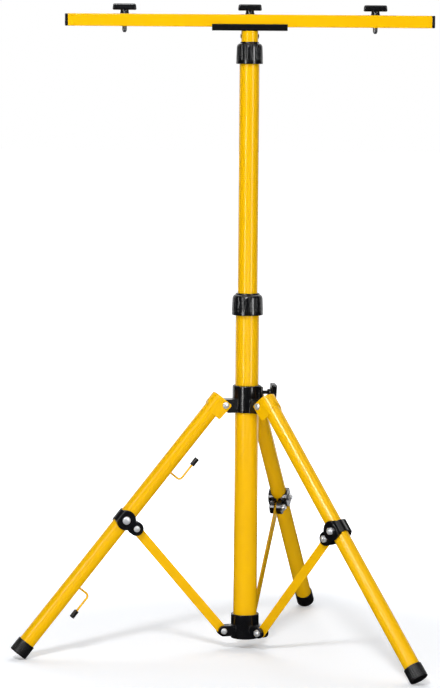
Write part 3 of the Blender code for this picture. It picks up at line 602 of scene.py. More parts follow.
@dataclass
class Fasteners:
    """Zinc-plated bolts with a domed socket head, and hexagon nuts."""

    head_height: float = 0.0028
    socket_width: float = 0.0030
    socket_depth: float = 0.0013
    nut_width: float = 0.0105
    nut_height: float = 0.0040
    nut_crown: Pair = (0.0016, 0.0010)
    tail: float = 0.0022
    head_rim: float = 0.0008
    thread_depth: float = 0.0004
    thread_pitch: float = 0.0010
    thread_end: float = 0.0008

    @staticmethod
    def hole(x: float = 0.0, z: float = 0.0, gap: float = GAP) -> Piece:
        """A bolt's hole along Y, as a cutting tool."""
        return rod(LAYOUT.bolt_radius + gap, DRILL_LENGTH, (x, 0.0, z), Axis.Y, SMALL_STEPS)

    def dome(self, head: float, reach: float) -> Outline:
        """The outline of a head, from its crown to the shank."""
        crown = arc((0.0, 0.0), 1.0, 90.0, 0.0, 8)
        rise = self.head_height - self.head_rim
        top = [(x * head, reach + self.head_rim + y * rise) for x, y in crown]
        return [(0.0, top[0][1])] + top[1:] + [(head, reach)]

    def socket(self, reach: float) -> Piece:
        """The hexagon socket that is sunk in a head, as a cutting tool."""
        top = reach + self.head_height
        return rod(self.socket_width / 2, 2 * self.socket_depth, (0.0, 0.0, top), sides=6)

    def thread(self, radius: float, top: float, bottom: float, pitch: float) -> Outline:
        """The outline of a cut thread down to a chamfered end on the axis."""
        root = radius - self.thread_depth
        length = top - bottom - self.thread_end
        turns = max(1, round(length / pitch))
        pitch = length / turns
        outline: Outline = []
        for turn in range(turns):
            height = top - turn * pitch
            outline += [(root, height - 0.15 * pitch), (radius, height - 0.45 * pitch),
                        (radius, height - 0.65 * pitch), (root, height - 0.95 * pitch)]
        cut = self.thread_depth
        return outline + [(root, bottom + cut), (root - cut, bottom), (0.0, bottom)]

    def pin(self, head_diameter: float, grip: float) -> Piece:
        """A pivot pin along Y with a socket head at each end."""
        reach = grip / 2 + GAP
        upper = self.dome(head_diameter / 2, reach) + [(LAYOUT.bolt_radius, reach)]
        lower = [(radius, -height) for radius, height in reversed(upper)]
        piece = lathe(upper + lower, SMALL_STEPS)
        below = placed(self.socket(reach), rotation(math.pi, "X"))
        combine(piece, Shaping.CUT, self.socket(reach), below)
        return placed(shaded(piece), Axis.Y.value)

    def bolt(self, head_diameter: float, grip: float) -> Piece:
        """A through bolt along Y, its head towards +Y and its nut towards -Y."""
        reach = grip / 2 + GAP
        outline = self.dome(head_diameter / 2, reach) + [(LAYOUT.bolt_radius, reach)]
        nut_end = -reach - self.nut_height
        outline += [(LAYOUT.bolt_radius, nut_end)]
        outline += self.thread(LAYOUT.bolt_radius, nut_end, nut_end - self.tail, self.thread_pitch)
        piece = lathe(outline, SMALL_STEPS)
        corner = self.nut_width / 2 / math.cos(math.radians(30.0))
        nut = rod(corner, self.nut_height, (0.0, 0.0, -reach - self.nut_height / 2), sides=6)
        across, up = self.nut_crown
        crown = lathe([(0.0, -reach), (corner, -reach), (corner, nut_end + up),
                       (corner - across, nut_end), (0.0, nut_end)], SMALL_STEPS)
        combine(piece, Shaping.JOIN, combine(nut, Shaping.SHARE, crown))
        combine(piece, Shaping.CUT, self.socket(reach))
        return placed(shaded(piece), rotation(-QUARTER, "X"))


FASTENERS = Fasteners()


@dataclass
class Mast:
    """The three steel tubes, the guide bushes and the spider at the foot."""

    rivet_below_top: float = 0.0082
    rivet_hole: float = 0.0028
    spider_radius: float = 0.0227
    spider_ledge: float = 0.004
    spider_ledge_width: float = 0.003
    lug_radius: float = 0.0087
    lug_width: float = 0.017
    lug_slot: float = 0.0026
    lug_slot_room: float = 0.0026
    bolt_head: float = 0.0100
    soft_edge: float = 0.0007

    def build_tubes(self) -> None:
        """The main, middle and top tubes, and the bushes that stay as they are."""
        tubes = {"main_tube": (LAYOUT.main_radius, LAYOUT.main_wall),
                 "mid_tube": (LAYOUT.mid_radius, LAYOUT.inner_wall),
                 "top_tube": (LAYOUT.top_radius, LAYOUT.inner_wall)}
        for node, (radius, wall) in tubes.items():
            low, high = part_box(node)
            piece = drawn_tube(radius, wall, low.z, high.z)
            if node == "top_tube":
                height = high.z - self.rivet_below_top
                hole = rod(self.rivet_hole, DRILL_LENGTH, (0.0, 0.0, height), Axis.X)
                combine(piece, Shaping.CUT, hole)
            dress(shaded(piece), node, POWDER_COAT)
        repaint("mid_tube_bush", TURNED_NYLON)
        repaint("top_tube_bush", TURNED_NYLON)

    def lug(self, pivot: Pair) -> Piece:
        """One rounded lug of the spider, out along +X."""
        inner = self.spider_radius / 2
        outline = arc(pivot, self.lug_radius, -90.0, 90.0, 20)
        outline += [(inner, pivot[1] + self.lug_radius), (inner, pivot[1] - self.lug_radius)]
        return prism(outline, self.lug_width)

    def build_spider(self) -> None:
        """The black foot of the main tube, with its three slotted lugs."""
        low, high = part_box("lower_spider")
        height = high.z - low.z
        pivot = (LAYOUT.lug_pivot_radius, LAYOUT.lug_pivot_height - low.z)
        outline = rounded([(0.0, height), (self.spider_radius, height), (self.spider_radius, 0.0),
                           (0.0, 0.0)], self.soft_edge, closed=False)
        piece = lathe(outline)
        slot_size = 0.040
        slot_middle = pivot[0] - LAYOUT.strut_width / 2 - self.lug_slot_room + slot_size / 2
        for azimuth in LAYOUT.azimuths.values():
            turn = LAYOUT.about_mast(azimuth)
            combine(piece, Shaping.JOIN, placed(self.lug(pivot), turn))
            slot = block((slot_size, 2 * self.lug_slot, slot_size), (slot_middle, 0.0, pivot[1]))
            combine(piece, Shaping.CUT, placed(slot, turn), placed(FASTENERS.hole(*pivot), turn))
        seat, ledge = LAYOUT.main_radius + GAP, LAYOUT.main_radius - self.spider_ledge_width
        past = 0.01
        combine(piece, Shaping.CUT, lathe([
            (0.0, height + past), (seat, height + past), (seat, self.spider_ledge),
            (ledge, self.spider_ledge), (ledge, -past), (0.0, -past)]))
        softened(piece, self.soft_edge)
        dress(placed(shaded(piece), shift(z=low.z)), "lower_spider", MOULDED_NYLON)
        dress_each(FASTENERS.bolt(self.bolt_head, self.lug_width), ZINC_PLATE,
                   LAYOUT.round_mast("spider_bolt", LAYOUT.lug_pivot_radius, LAYOUT.lug_pivot_height))

    def build(self) -> None:
        """Builds the whole mast."""
        self.build_tubes()
        self.build_spider()


@dataclass
class TwistLock:
    """One twist lock, whose fluted collar shows."""

    prefix: str
    tube_radius: float
    skirt_radius: float
    wall: float
    lip: float
    shoulder: float
    overlap: float = 0.0207
    rim: float = 0.0010
    neck: float = 0.0025
    flutes: int = 16
    flute_radius: float = 0.0030
    flute_depth: float = 0.0009
    chamfer: float = 0.0004
    bevel: float = 0.0006

    def outline(self, height: float) -> Outline:
        """The collar's section: mouth, round shoulder, flared skirt and the inner cone."""
        cut, skirt, mouth = self.chamfer, self.skirt_radius, self.tube_radius + GAP
        body = skirt + self.wall
        top = self.tube_radius + self.lip
        ledge = top + self.bevel
        reach = body - self.rim - ledge
        rise = self.shoulder - self.neck
        shoulder = [(ledge + reach * x, height - self.shoulder + rise * y)
                    for x, y in arc((0.0, 0.0), 1.0, 84.0, 0.0, 10)]
        outer = [(mouth + GAP, height), (top - cut, height), (top, height - cut),
                 (top, height - self.neck + cut), *shoulder, (body - 0.4 * self.rim, 0.20 * height),
                 (body, 0.09 * height), (body, self.bevel), (body - self.bevel, 0.0), (skirt + cut, 0.0)]
        return outer + [(skirt, cut), (skirt, self.overlap + 0.0058),
                        (self.tube_radius + 0.0018, height - 0.0022), (mouth, height - 0.0010),
                        (mouth, height - GAP)]

    def build(self) -> None:
        """The collar with its flutes, and the hidden ring and sleeve that stay."""
        low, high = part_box(f"{self.prefix}_lock_collar")
        height = high.z - low.z
        piece = lathe(self.outline(height))
        centre = self.skirt_radius + self.wall - self.rim + self.flute_radius - self.flute_depth
        start = 0.17 * height
        end = 1.2 * height
        tip = [(self.flute_radius * x, start + self.flute_radius * (1 + y))
               for x, y in arc((0.0, 0.0), 1.0, -80.0, 0.0, 6)]
        flute = lathe([(0.0, start), *tip, (self.flute_radius, end), (0.0, end)], 24)
        for number in range(self.flutes):
            azimuth = 2 * math.pi * (number + 0.5) / self.flutes
            combine(piece, Shaping.CUT, copied(flute, LAYOUT.about_mast(azimuth, centre)))
        bpy.data.objects.remove(flute)
        softened(piece, self.chamfer, 2, 30.0)
        dress(placed(shaded(piece), shift(z=low.z)), f"{self.prefix}_lock_collar", MOULDED_NYLON)
        repaint(f"{self.prefix}_lock_sleeve", MOULDED_NYLON)
        repaint(f"{self.prefix}_lock_wedge", TURNED_NYLON)


@dataclass
class Knob:
    """A T knob about its underside, with the threaded stud that is moulded in."""

    length: float
    depth: float
    head: float
    stem_radius: float
    stem: float
    thread: float
    edge: float = 0.0024
    taper: float = 0.93
    rim: float = 0.0006
    thread_in_knob: float = 0.010
    pitch: float = 0.00125
    tip: float = 0.0028

    def turned_head(self) -> Piece:
        """The oblong head on its flared stem, with a blind bore."""
        piece = block((self.length, self.depth, self.head), (0.0, 0.0, self.stem + self.head / 2))
        switch_mode("EDIT")
        select_mesh("DESELECT")
        switch_mode("OBJECT")
        for face in piece.data.polygons:
            face.select = face.normal.z > 0.9
        switch_mode("EDIT")
        bpy.ops.transform.resize(value=(self.taper, self.taper, 1.0))
        switch_mode("OBJECT")
        apply_modifier(piece, "BEVEL", width=self.edge, segments=5)
        foot = self.stem_radius
        top = self.stem + self.edge
        stem = lathe([(0.0, top), (0.86 * foot, top), (0.90 * foot, 0.5 * self.stem), (foot, self.rim),
                      (foot - self.rim, 0.0), (0.0, 0.0)], 48)
        combine(piece, Shaping.JOIN, stem)
        bore = rod(self.thread + GAP, 2 * (self.thread_in_knob + GAP), sides=SMALL_STEPS)
        combine(piece, Shaping.CUT, bore)
        return shaded(softened(piece, 0.0005, 2, 40.0))

    def stud(self, below: float) -> Piece:
        """The threaded stud, from inside the knob to a tapered tip that far below its underside."""
        end = -below + self.tip
        outline = [(0.0, self.thread_in_knob), (self.thread, self.thread_in_knob), (self.thread, 0.0)]
        outline += FASTENERS.thread(self.thread, 0.0, end, self.pitch)[:-3]
        outline += [(self.thread - 0.0004, end), (self.thread - 0.0020, -below), (0.0, -below)]
        return shaded(lathe(outline, SMALL_STEPS))


@dataclass
class Head:
    """The cradle on the top tube, the crossbar with its plugs, and its three knobs."""

    bar_height: float = 0.020
    bar_wall: float = 0.0012
    bar_corner: float = 0.0022
    stud_hole: float = 0.0043
    cap_thickness: float = 0.0045
    cap_plug: float = 0.012
    cradle_floor: float = 0.0056
    cradle_side: float = 0.003
    cradle_corner: float = 0.0009
    spigot_length: float = 0.026
    rivet_radius: float = 0.0025
    rivet_head: float = 0.0040
    rivet_head_height: float = 0.0011
    knob_spacing: float = 0.200
    stud_below_bar: float = 0.0095

    def square(self, side: float, corner: float) -> Outline:
        """A square outline with rounded corners about the origin."""
        half = side / 2
        return rounded([(half, half), (-half, half), (-half, -half), (half, -half)], corner, steps=5)

    def build_bar(self, low: Vector, high: Vector) -> None:
        """The square tube with its three stud holes, and the plugs in its ends."""
        length = high.x - low.x
        middle = shift(z=(low.z + high.z) / 2)
        along = rotation(QUARTER)
        piece = prism(self.square(self.bar_height, self.bar_corner), length)
        inside = self.bar_height - 2 * self.bar_wall
        bore = self.square(inside, self.bar_corner - self.bar_wall)
        combine(piece, Shaping.CUT, prism(bore, 2 * length))
        placed(piece, middle @ along)
        for x in (-self.knob_spacing, 0.0, self.knob_spacing):
            hole = rod(self.stud_hole, DRILL_LENGTH, (x, 0.0, middle.translation.z), sides=SMALL_STEPS)
            combine(piece, Shaping.CUT, hole)
        dress(shaded(piece), "crossbar", POWDER_COAT)
        plug = prism(self.square(inside - 2 * GAP, 0.001), self.cap_plug)
        placed(plug, shift(GAP - self.cap_plug / 2) @ along)
        face = prism(self.square(self.bar_height, self.bar_corner), self.cap_thickness)
        placed(face, shift(GAP + self.cap_thickness / 2) @ along)
        softened(face, 0.0012, 4, 60.0)
        end = shift(length / 2)
        dress_each(shaded(combine(face, Shaping.JOIN, plug)), MOULDED_NYLON,
                   {"end_cap_left": middle @ rotation(math.pi) @ end, "end_cap_right": middle @ end})
        repaint("square_nut_left", ZINC_PLATE)
        repaint("square_nut_right", ZINC_PLATE)

    def build_cradle(self) -> None:
        """The channel under the bar with its spigot, and the rivet through the neck."""
        low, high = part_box("cradle")
        bottom = low.z + self.spigot_length
        side = self.bar_height / 2 + GAP
        outer = side + self.cradle_side
        top = high.z - bottom
        half = [(outer, 0.0), (outer, top), (side, top), (side, self.cradle_floor)]
        section = rounded(half + [(-y, z) for y, z in reversed(half)], self.cradle_corner)
        piece = placed(prism(section, high.x - low.x), rotation(QUARTER))
        spigot = LAYOUT.top_radius - LAYOUT.inner_wall - GAP
        join, cut, end = 0.002, 0.0008, -self.spigot_length
        combine(piece, Shaping.JOIN, lathe([(0.0, join), (spigot, join), (spigot, end + cut),
                                            (spigot - cut, end), (0.0, end)]))
        stud = rod(self.stud_hole, 2 * (self.stud_below_bar + GAP), (0.0, 0.0, self.cradle_floor + GAP),
                   sides=SMALL_STEPS)
        neck = low.z + self.spigot_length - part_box("neck_rivet")[0].z - self.rivet_head
        cross = rod(self.rivet_radius + GAP, DRILL_LENGTH, (0.0, 0.0, -neck), Axis.X, SMALL_STEPS)
        combine(piece, Shaping.CUT, stud, cross)
        softened(piece, 0.0006, 3, 50.0)
        dress(placed(shaded(piece), shift(z=bottom)), "cradle", MOULDED_NYLON)
        reach = LAYOUT.top_radius + GAP
        end = reach + self.rivet_head_height
        upper = [(0.0, end), (0.55 * self.rivet_head, end), (0.85 * self.rivet_head, end - 0.0003),
                 (self.rivet_head, reach + 0.0002), (self.rivet_head, reach), (self.rivet_radius, reach)]
        rivet = lathe(upper + [(radius, -height) for radius, height in reversed(upper)], SMALL_STEPS)
        dress(placed(shaded(rivet), shift(z=bottom - neck) @ Axis.X.value), "neck_rivet", MOULDED_NYLON)

    def build_knobs(self, seat: float) -> None:
        """The three knobs on the bar with their studs."""
        knob = Knob(length=0.0385, depth=0.014, head=0.0103, stem_radius=0.0075, stem=0.0055,
                    thread=0.004)
        stud = knob.stud(self.bar_height + GAP + self.stud_below_bar)
        spots = {"left": -self.knob_spacing, "centre": 0.0, "right": self.knob_spacing}
        places = {name: shift(x, z=seat + GAP) for name, x in spots.items()}
        dress_each(knob.turned_head(), MOULDED_NYLON, {f"knob_{name}": places[name] for name in places})
        # The studs get the darker zinc, which is painted shade under the bar.
        dress_each(stud, SHADED_THREAD_ZINC, {f"stud_{name}": places[name] for name in places})

    def build(self) -> None:
        """Builds everything above the top tube."""
        low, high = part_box("crossbar")
        self.build_cradle()
        self.build_bar(low, high)
        self.build_knobs(high.z)


@dataclass
class Hub:
    """The sliding hub with its three ears, pivot pins and locking knob."""

    radius: float = 0.0232
    bore: float = 0.0202
    below_pivot: float = 0.0128
    height: float = 0.0435
    ear_radius: float = 0.0090
    ear_heel: float = 0.0050
    ear_width: float = 0.0254
    boss_proud: float = 0.0022
    boss_width: float = 0.018
    boss_height: float = 0.0205
    boss_edge: float = 0.0022
    screw_below_top: float = 0.0125
    screw_radius: float = 0.003
    knob_azimuth: float = math.radians(14.0)
    knob_turn: float = math.radians(12.0)
    knob_standoff: float = 0.0095
    pin_head: float = 0.0108
    bracket_width: float = 0.0298
    chamfer: float = 0.0012
    soft_edge: float = 0.0008

    def ear(self) -> Piece:
        """One ear, out along +X, with its flat heel that stops the leg."""
        inner = self.radius / 2
        pivot = (LAYOUT.hub_pivot_radius, 0.0)
        outline = [(inner, -self.below_pivot), (pivot[0] - self.ear_heel, -self.below_pivot)]
        outline += arc(pivot, self.ear_radius, -75.0, 90.0, 20) + [(inner, self.ear_radius)]
        return prism(outline, self.ear_width)

    def build_ring(self, screw_height: float) -> None:
        """The moulded hub about its pivot height."""
        top = self.height - self.below_pivot
        piece = lathe([(0.0, top), (self.radius - self.chamfer, top), (self.radius, top - self.chamfer),
                       (self.radius, -self.below_pivot), (0.0, -self.below_pivot)])
        for azimuth in LAYOUT.azimuths.values():
            turn = LAYOUT.about_mast(azimuth)
            hole = FASTENERS.hole(LAYOUT.hub_pivot_radius)
            combine(piece, Shaping.JOIN, placed(self.ear(), turn))
            combine(piece, Shaping.CUT, placed(hole, turn))
        turn = LAYOUT.about_mast(self.knob_azimuth)
        reach = self.radius + self.boss_proud
        boss = block((reach, self.boss_width, self.boss_height), (reach / 2, 0.0, screw_height))
        apply_modifier(boss, "BEVEL", width=self.boss_edge, segments=4)
        combine(piece, Shaping.JOIN, placed(boss, turn))
        screw_hole = rod(self.screw_radius + GAP, DRILL_LENGTH, (DRILL_LENGTH / 2, 0.0, screw_height),
                         Axis.X, SMALL_STEPS)
        bore = rod(self.bore, 4 * self.height)
        combine(piece, Shaping.CUT, bore, placed(screw_hole, turn))
        softened(piece, self.soft_edge)
        dress(placed(shaded(piece), shift(z=LAYOUT.hub_pivot_height)), "hub", MOULDED_NYLON)

    def build(self) -> None:
        """The hub, its pins and its knob."""
        screw_height = self.height - self.below_pivot - self.screw_below_top
        self.build_ring(screw_height)
        dress_each(FASTENERS.pin(self.pin_head, self.bracket_width), ZINC_PLATE,
                   LAYOUT.round_mast("hub_bolt", LAYOUT.hub_pivot_radius, LAYOUT.hub_pivot_height))
        knob = Knob(length=0.029, depth=0.0145, head=0.0095, stem_radius=0.00575, stem=0.0045,
                    thread=self.screw_radius)
        reach = self.radius + self.boss_proud + self.knob_standoff
        height = LAYOUT.hub_pivot_height + screw_height
        place = LAYOUT.about_mast(self.knob_azimuth, reach, height, QUARTER) @ rotation(self.knob_turn)
        screw = knob.stud(reach - self.bore)
        dress(placed(knob.turned_head(), place), "hub_knob", MOULDED_NYLON)
        dress(placed(screw, place), "hub_knob_screw", BLACKENED_STEEL)


@dataclass
class Legs:
    """The three legs with their brackets, caps and clamps, and the struts."""

    tube_wall: float = 0.0012
    tube_below_pivot: float = 0.0125
    foot_radius: float = 0.0150
    foot_height: float = 0.023
    foot_floor: float = 0.006
    foot_rounding: float = 0.002
    foot_ribs: int = 24
    groove_radius: float = 0.0010
    groove_out: float = 0.0006
    sheet: float = 0.0016
    bracket_above: float = 0.0066
    bracket_inside: float = 0.0085
    bracket_below: float = 0.0242
    bracket_taper: float = 0.0018
    bracket_toe: float = 0.0115
    bracket_corner: float = 0.0030
    disc_radius: float = 0.016
    clamp_width: float = 0.0324
    clamp_back: float = 0.0115
    strap_radius: float = 0.0155
    strap_length: float = 0.020
    pivot_offset: float = 0.0240
    lobe_radius: float = 0.0115
    lobe_width: float = 0.020
    lobe_web: float = 0.015
    clamp_bolt_head: float = 0.0128
    strut_bolt_head: float = 0.0102
    open_pivot_gap: float = 0.0014

    def tube(self) -> Piece:
        """A leg tube with the cross hole of the clamp bolt."""
        length = LAYOUT.leg_length - self.tube_below_pivot - self.foot_floor - GAP
        piece = drawn_tube(LAYOUT.leg_radius, self.tube_wall, -length, 0.0)
        placed(piece, shift(LAYOUT.leg_offset, z=-self.tube_below_pivot))
        hole = FASTENERS.hole(LAYOUT.leg_offset, -LAYOUT.clamp_distance)
        return shaded(combine(piece, Shaping.CUT, hole))

    def bracket(self) -> Piece:
        """The folded sheet bracket: two side plates and a round back on the tube."""
        inner_half = LAYOUT.leg_radius + GAP
        width = 2 * (inner_half + self.sheet)
        centre = LAYOUT.leg_offset
        outside = centre + width / 2
        above, below = self.bracket_above, -self.bracket_below
        outline = rounded([
            (outside, above), (-self.bracket_inside, above),
            (self.bracket_taper - self.bracket_inside, below), (outside - self.bracket_toe, below),
            (outside, -self.tube_below_pivot)], self.bracket_corner)
        piece = prism(outline, width)
        reach = 0.08
        corners = block((reach, reach, reach), (centre + reach / 2, 0.0, 0.0))
        combine(corners, Shaping.CUT, rod(width / 2, 2 * reach, (centre, 0.0, 0.0)))
        channel = block((reach, 2 * inner_half, reach), (centre - reach / 2, 0.0, 0.0))
        bore = rod(inner_half, reach, (centre, 0.0, 0.0))
        combine(piece, Shaping.CUT, corners, channel, bore, FASTENERS.hole())
        return shaded(softened(piece, 0.0003, 2, 45.0))

    def foot(self) -> Piece:
        """The rubber cap with its fine upright ribs."""
        outer, inner = self.foot_radius, LAYOUT.leg_radius + GAP
        rim = rounded([(inner, self.foot_height), (outer - 0.0002, self.foot_height), (outer, 0.0),
                       (0.0, 0.0)], self.foot_rounding, closed=False, steps=6)
        piece = lathe([(0.0, self.foot_floor), (inner, self.foot_floor)] + rim)
        groove = rod(self.groove_radius, 0.6 * self.foot_height, sides=16)
        for number in range(self.foot_ribs):
            azimuth = 2 * math.pi * number / self.foot_ribs
            place = LAYOUT.about_mast(azimuth, outer + self.groove_out, 0.48 * self.foot_height)
            combine(piece, Shaping.CUT, copied(groove, place))
        bpy.data.objects.remove(groove)
        softened(piece, 0.00025, 2, 45.0)
        return placed(shaded(piece), shift(LAYOUT.leg_offset, z=-LAYOUT.leg_length))

    def clamp(self) -> Piece:
        """The strut clamp: a strap with two discs, and a slotted lobe for the strut."""
        radius = LAYOUT.leg_radius
        piece = rod(self.strap_radius, self.strap_length)
        disc = rod(self.disc_radius, self.clamp_width, axis=Axis.Y)
        combine(disc, Shaping.CUT, block((0.04, 0.04, 0.04), (self.clamp_back + 0.02, 0.0, 0.0)))
        outline = arc((-self.pivot_offset, 0.0), self.lobe_radius, 45.0, 315.0, 28)
        outline += [(-radius, -self.lobe_web / 2), (-radius, self.lobe_web / 2)]
        combine(piece, Shaping.JOIN, disc, prism(outline, self.lobe_width))
        slot = block((0.040, LAYOUT.strut_thickness + 2 * GAP, 0.040), (-0.026, 0.0, 0.0))
        combine(piece, Shaping.CUT, rod(radius + GAP, 0.08), slot, FASTENERS.hole(),
                FASTENERS.hole(-self.pivot_offset))
        softened(piece, 0.0006, 3, 45.0)
        return placed(shaded(piece), shift(LAYOUT.leg_offset, z=-LAYOUT.clamp_distance))

    def strut(self, lower_gap: float) -> Piece:
        """A flat strut up from its lower eye."""
        half = LAYOUT.strut_width / 2
        outline = arc((0.0, 0.0), half, 180.0, 360.0, 20)
        outline += arc((0.0, LAYOUT.strut_length), half, 0.0, 180.0, 20)
        piece = prism(outline, LAYOUT.strut_thickness)
        combine(piece, Shaping.CUT, FASTENERS.hole(gap=lower_gap), FASTENERS.hole(z=LAYOUT.strut_length))
        return shaded(softened(piece, 0.0004, 2, 45.0))

    def build(self) -> None:
        """Models each piece once and places it on each leg."""
        clamp_bolt = FASTENERS.bolt(self.clamp_bolt_head, self.clamp_width)
        strut_bolt = FASTENERS.bolt(self.strut_bolt_head, self.lobe_width)
        placed(clamp_bolt, shift(LAYOUT.leg_offset, z=-LAYOUT.clamp_distance))
        placed(strut_bolt, shift(LAYOUT.clamp_pivot_x, z=-LAYOUT.clamp_distance))
        models = [("leg_tube", self.tube(), POWDER_COAT), ("leg_bracket", self.bracket(), POWDER_COAT),
                  ("leg_foot", self.foot(), SOFT_RUBBER), ("leg_clamp", self.clamp(), MOULDED_NYLON),
                  ("clamp_bolt", clamp_bolt, ZINC_PLATE), ("strut_bolt", strut_bolt, ZINC_PLATE)]
        for kind, model, finish in models:
            dress_each(model, finish, {f"{kind}_{name}": LAYOUT.leg(name) for name in LAYOUT.azimuths})
        for name in LAYOUT.azimuths:
            strut = self.strut(GAP if name == "rear" else self.open_pivot_gap)
            dress(placed(strut, LAYOUT.strut(name)), f"strut_{name}", POWDER_COAT)


@dataclass
class CableHooks:
    """The two bent wire hooks of the left leg, with their soft tips."""

    wire: float = 0.0017
    side: float = -0.0085
    reach: float = 0.024
    run: float = 0.041
    bend: float = 0.006
    standoff: float = 0.0009
    upper: float = 0.139
    lower: float = 0.3745
    tip_radius: float = 0.004
    tip_length: float = 0.014
    tip_depth: float = 0.010
    tip_corner: float = 0.0012

    def hook(self, direction: float) -> tuple[Piece, float]:
        """A wire from the tube's side that turns along the leg.

        Args:
            direction: 1 where it opens upwards, -1 where it opens downwards.

        Returns:
            The wire, and how far out its straight run is.
        """
        chord = math.sqrt(LAYOUT.leg_radius ** 2 - self.side ** 2)
        root = LAYOUT.leg_offset - chord - 2 * GAP - self.standoff
        centre = root - self.reach + self.bend
        bend = arc((centre, self.bend), self.bend, -90.0, -180.0)
        path = [(root, 0.0), *bend, (centre - self.bend, self.run)]
        curve = bpy.data.curves.new("wire", "CURVE")
        curve.dimensions = "3D"
        curve.bevel_depth = self.wire
        curve.bevel_resolution = 6
        curve.use_fill_caps = True
        spline = curve.splines.new("POLY")
        spline.points.add(len(path) - 1)
        for point, (x, z) in zip(spline.points, path):
            point.co = (x, 0.0, direction * z, 1.0)
        piece = bpy.data.objects.new("wire", curve)
        bpy.context.scene.collection.objects.link(piece)
        take(piece)
        bpy.ops.object.convert(target="MESH")
        piece = bpy.context.object
        switch_mode("EDIT")
        return shaded(close_up(piece)), centre - self.bend

    def tip(self) -> Piece:
        """The soft cap about the wire's end, its closed end along +Z."""
        inner = self.wire + GAP
        top = self.tip_length - self.tip_depth
        outline = rounded([(0.0, top), (self.tip_radius, top), (self.tip_radius, -self.tip_depth),
                           (inner, -self.tip_depth)], self.tip_corner, closed=False)
        return shaded(lathe(outline + [(inner, GAP), (0.0, GAP)], SMALL_STEPS))

    def build(self) -> None:
        """Both hooks with their tips."""
        leg = LAYOUT.leg("left")
        for name, distance, direction in (("upper", self.upper, 1.0), ("lower", self.lower, -1.0)):
            wire, out = self.hook(direction)
            place = leg @ shift(0.0, self.side, -distance)
            dress(placed(wire, place), f"cable_hook_{name}", POWDER_COAT)
            turn = rotation(0.0 if direction > 0.0 else math.pi, "X")
            place = leg @ shift(out, self.side, direction * self.run - distance) @ turn
            dress(placed(self.tip(), place), f"hook_tip_{name}", SOFT_RUBBER)


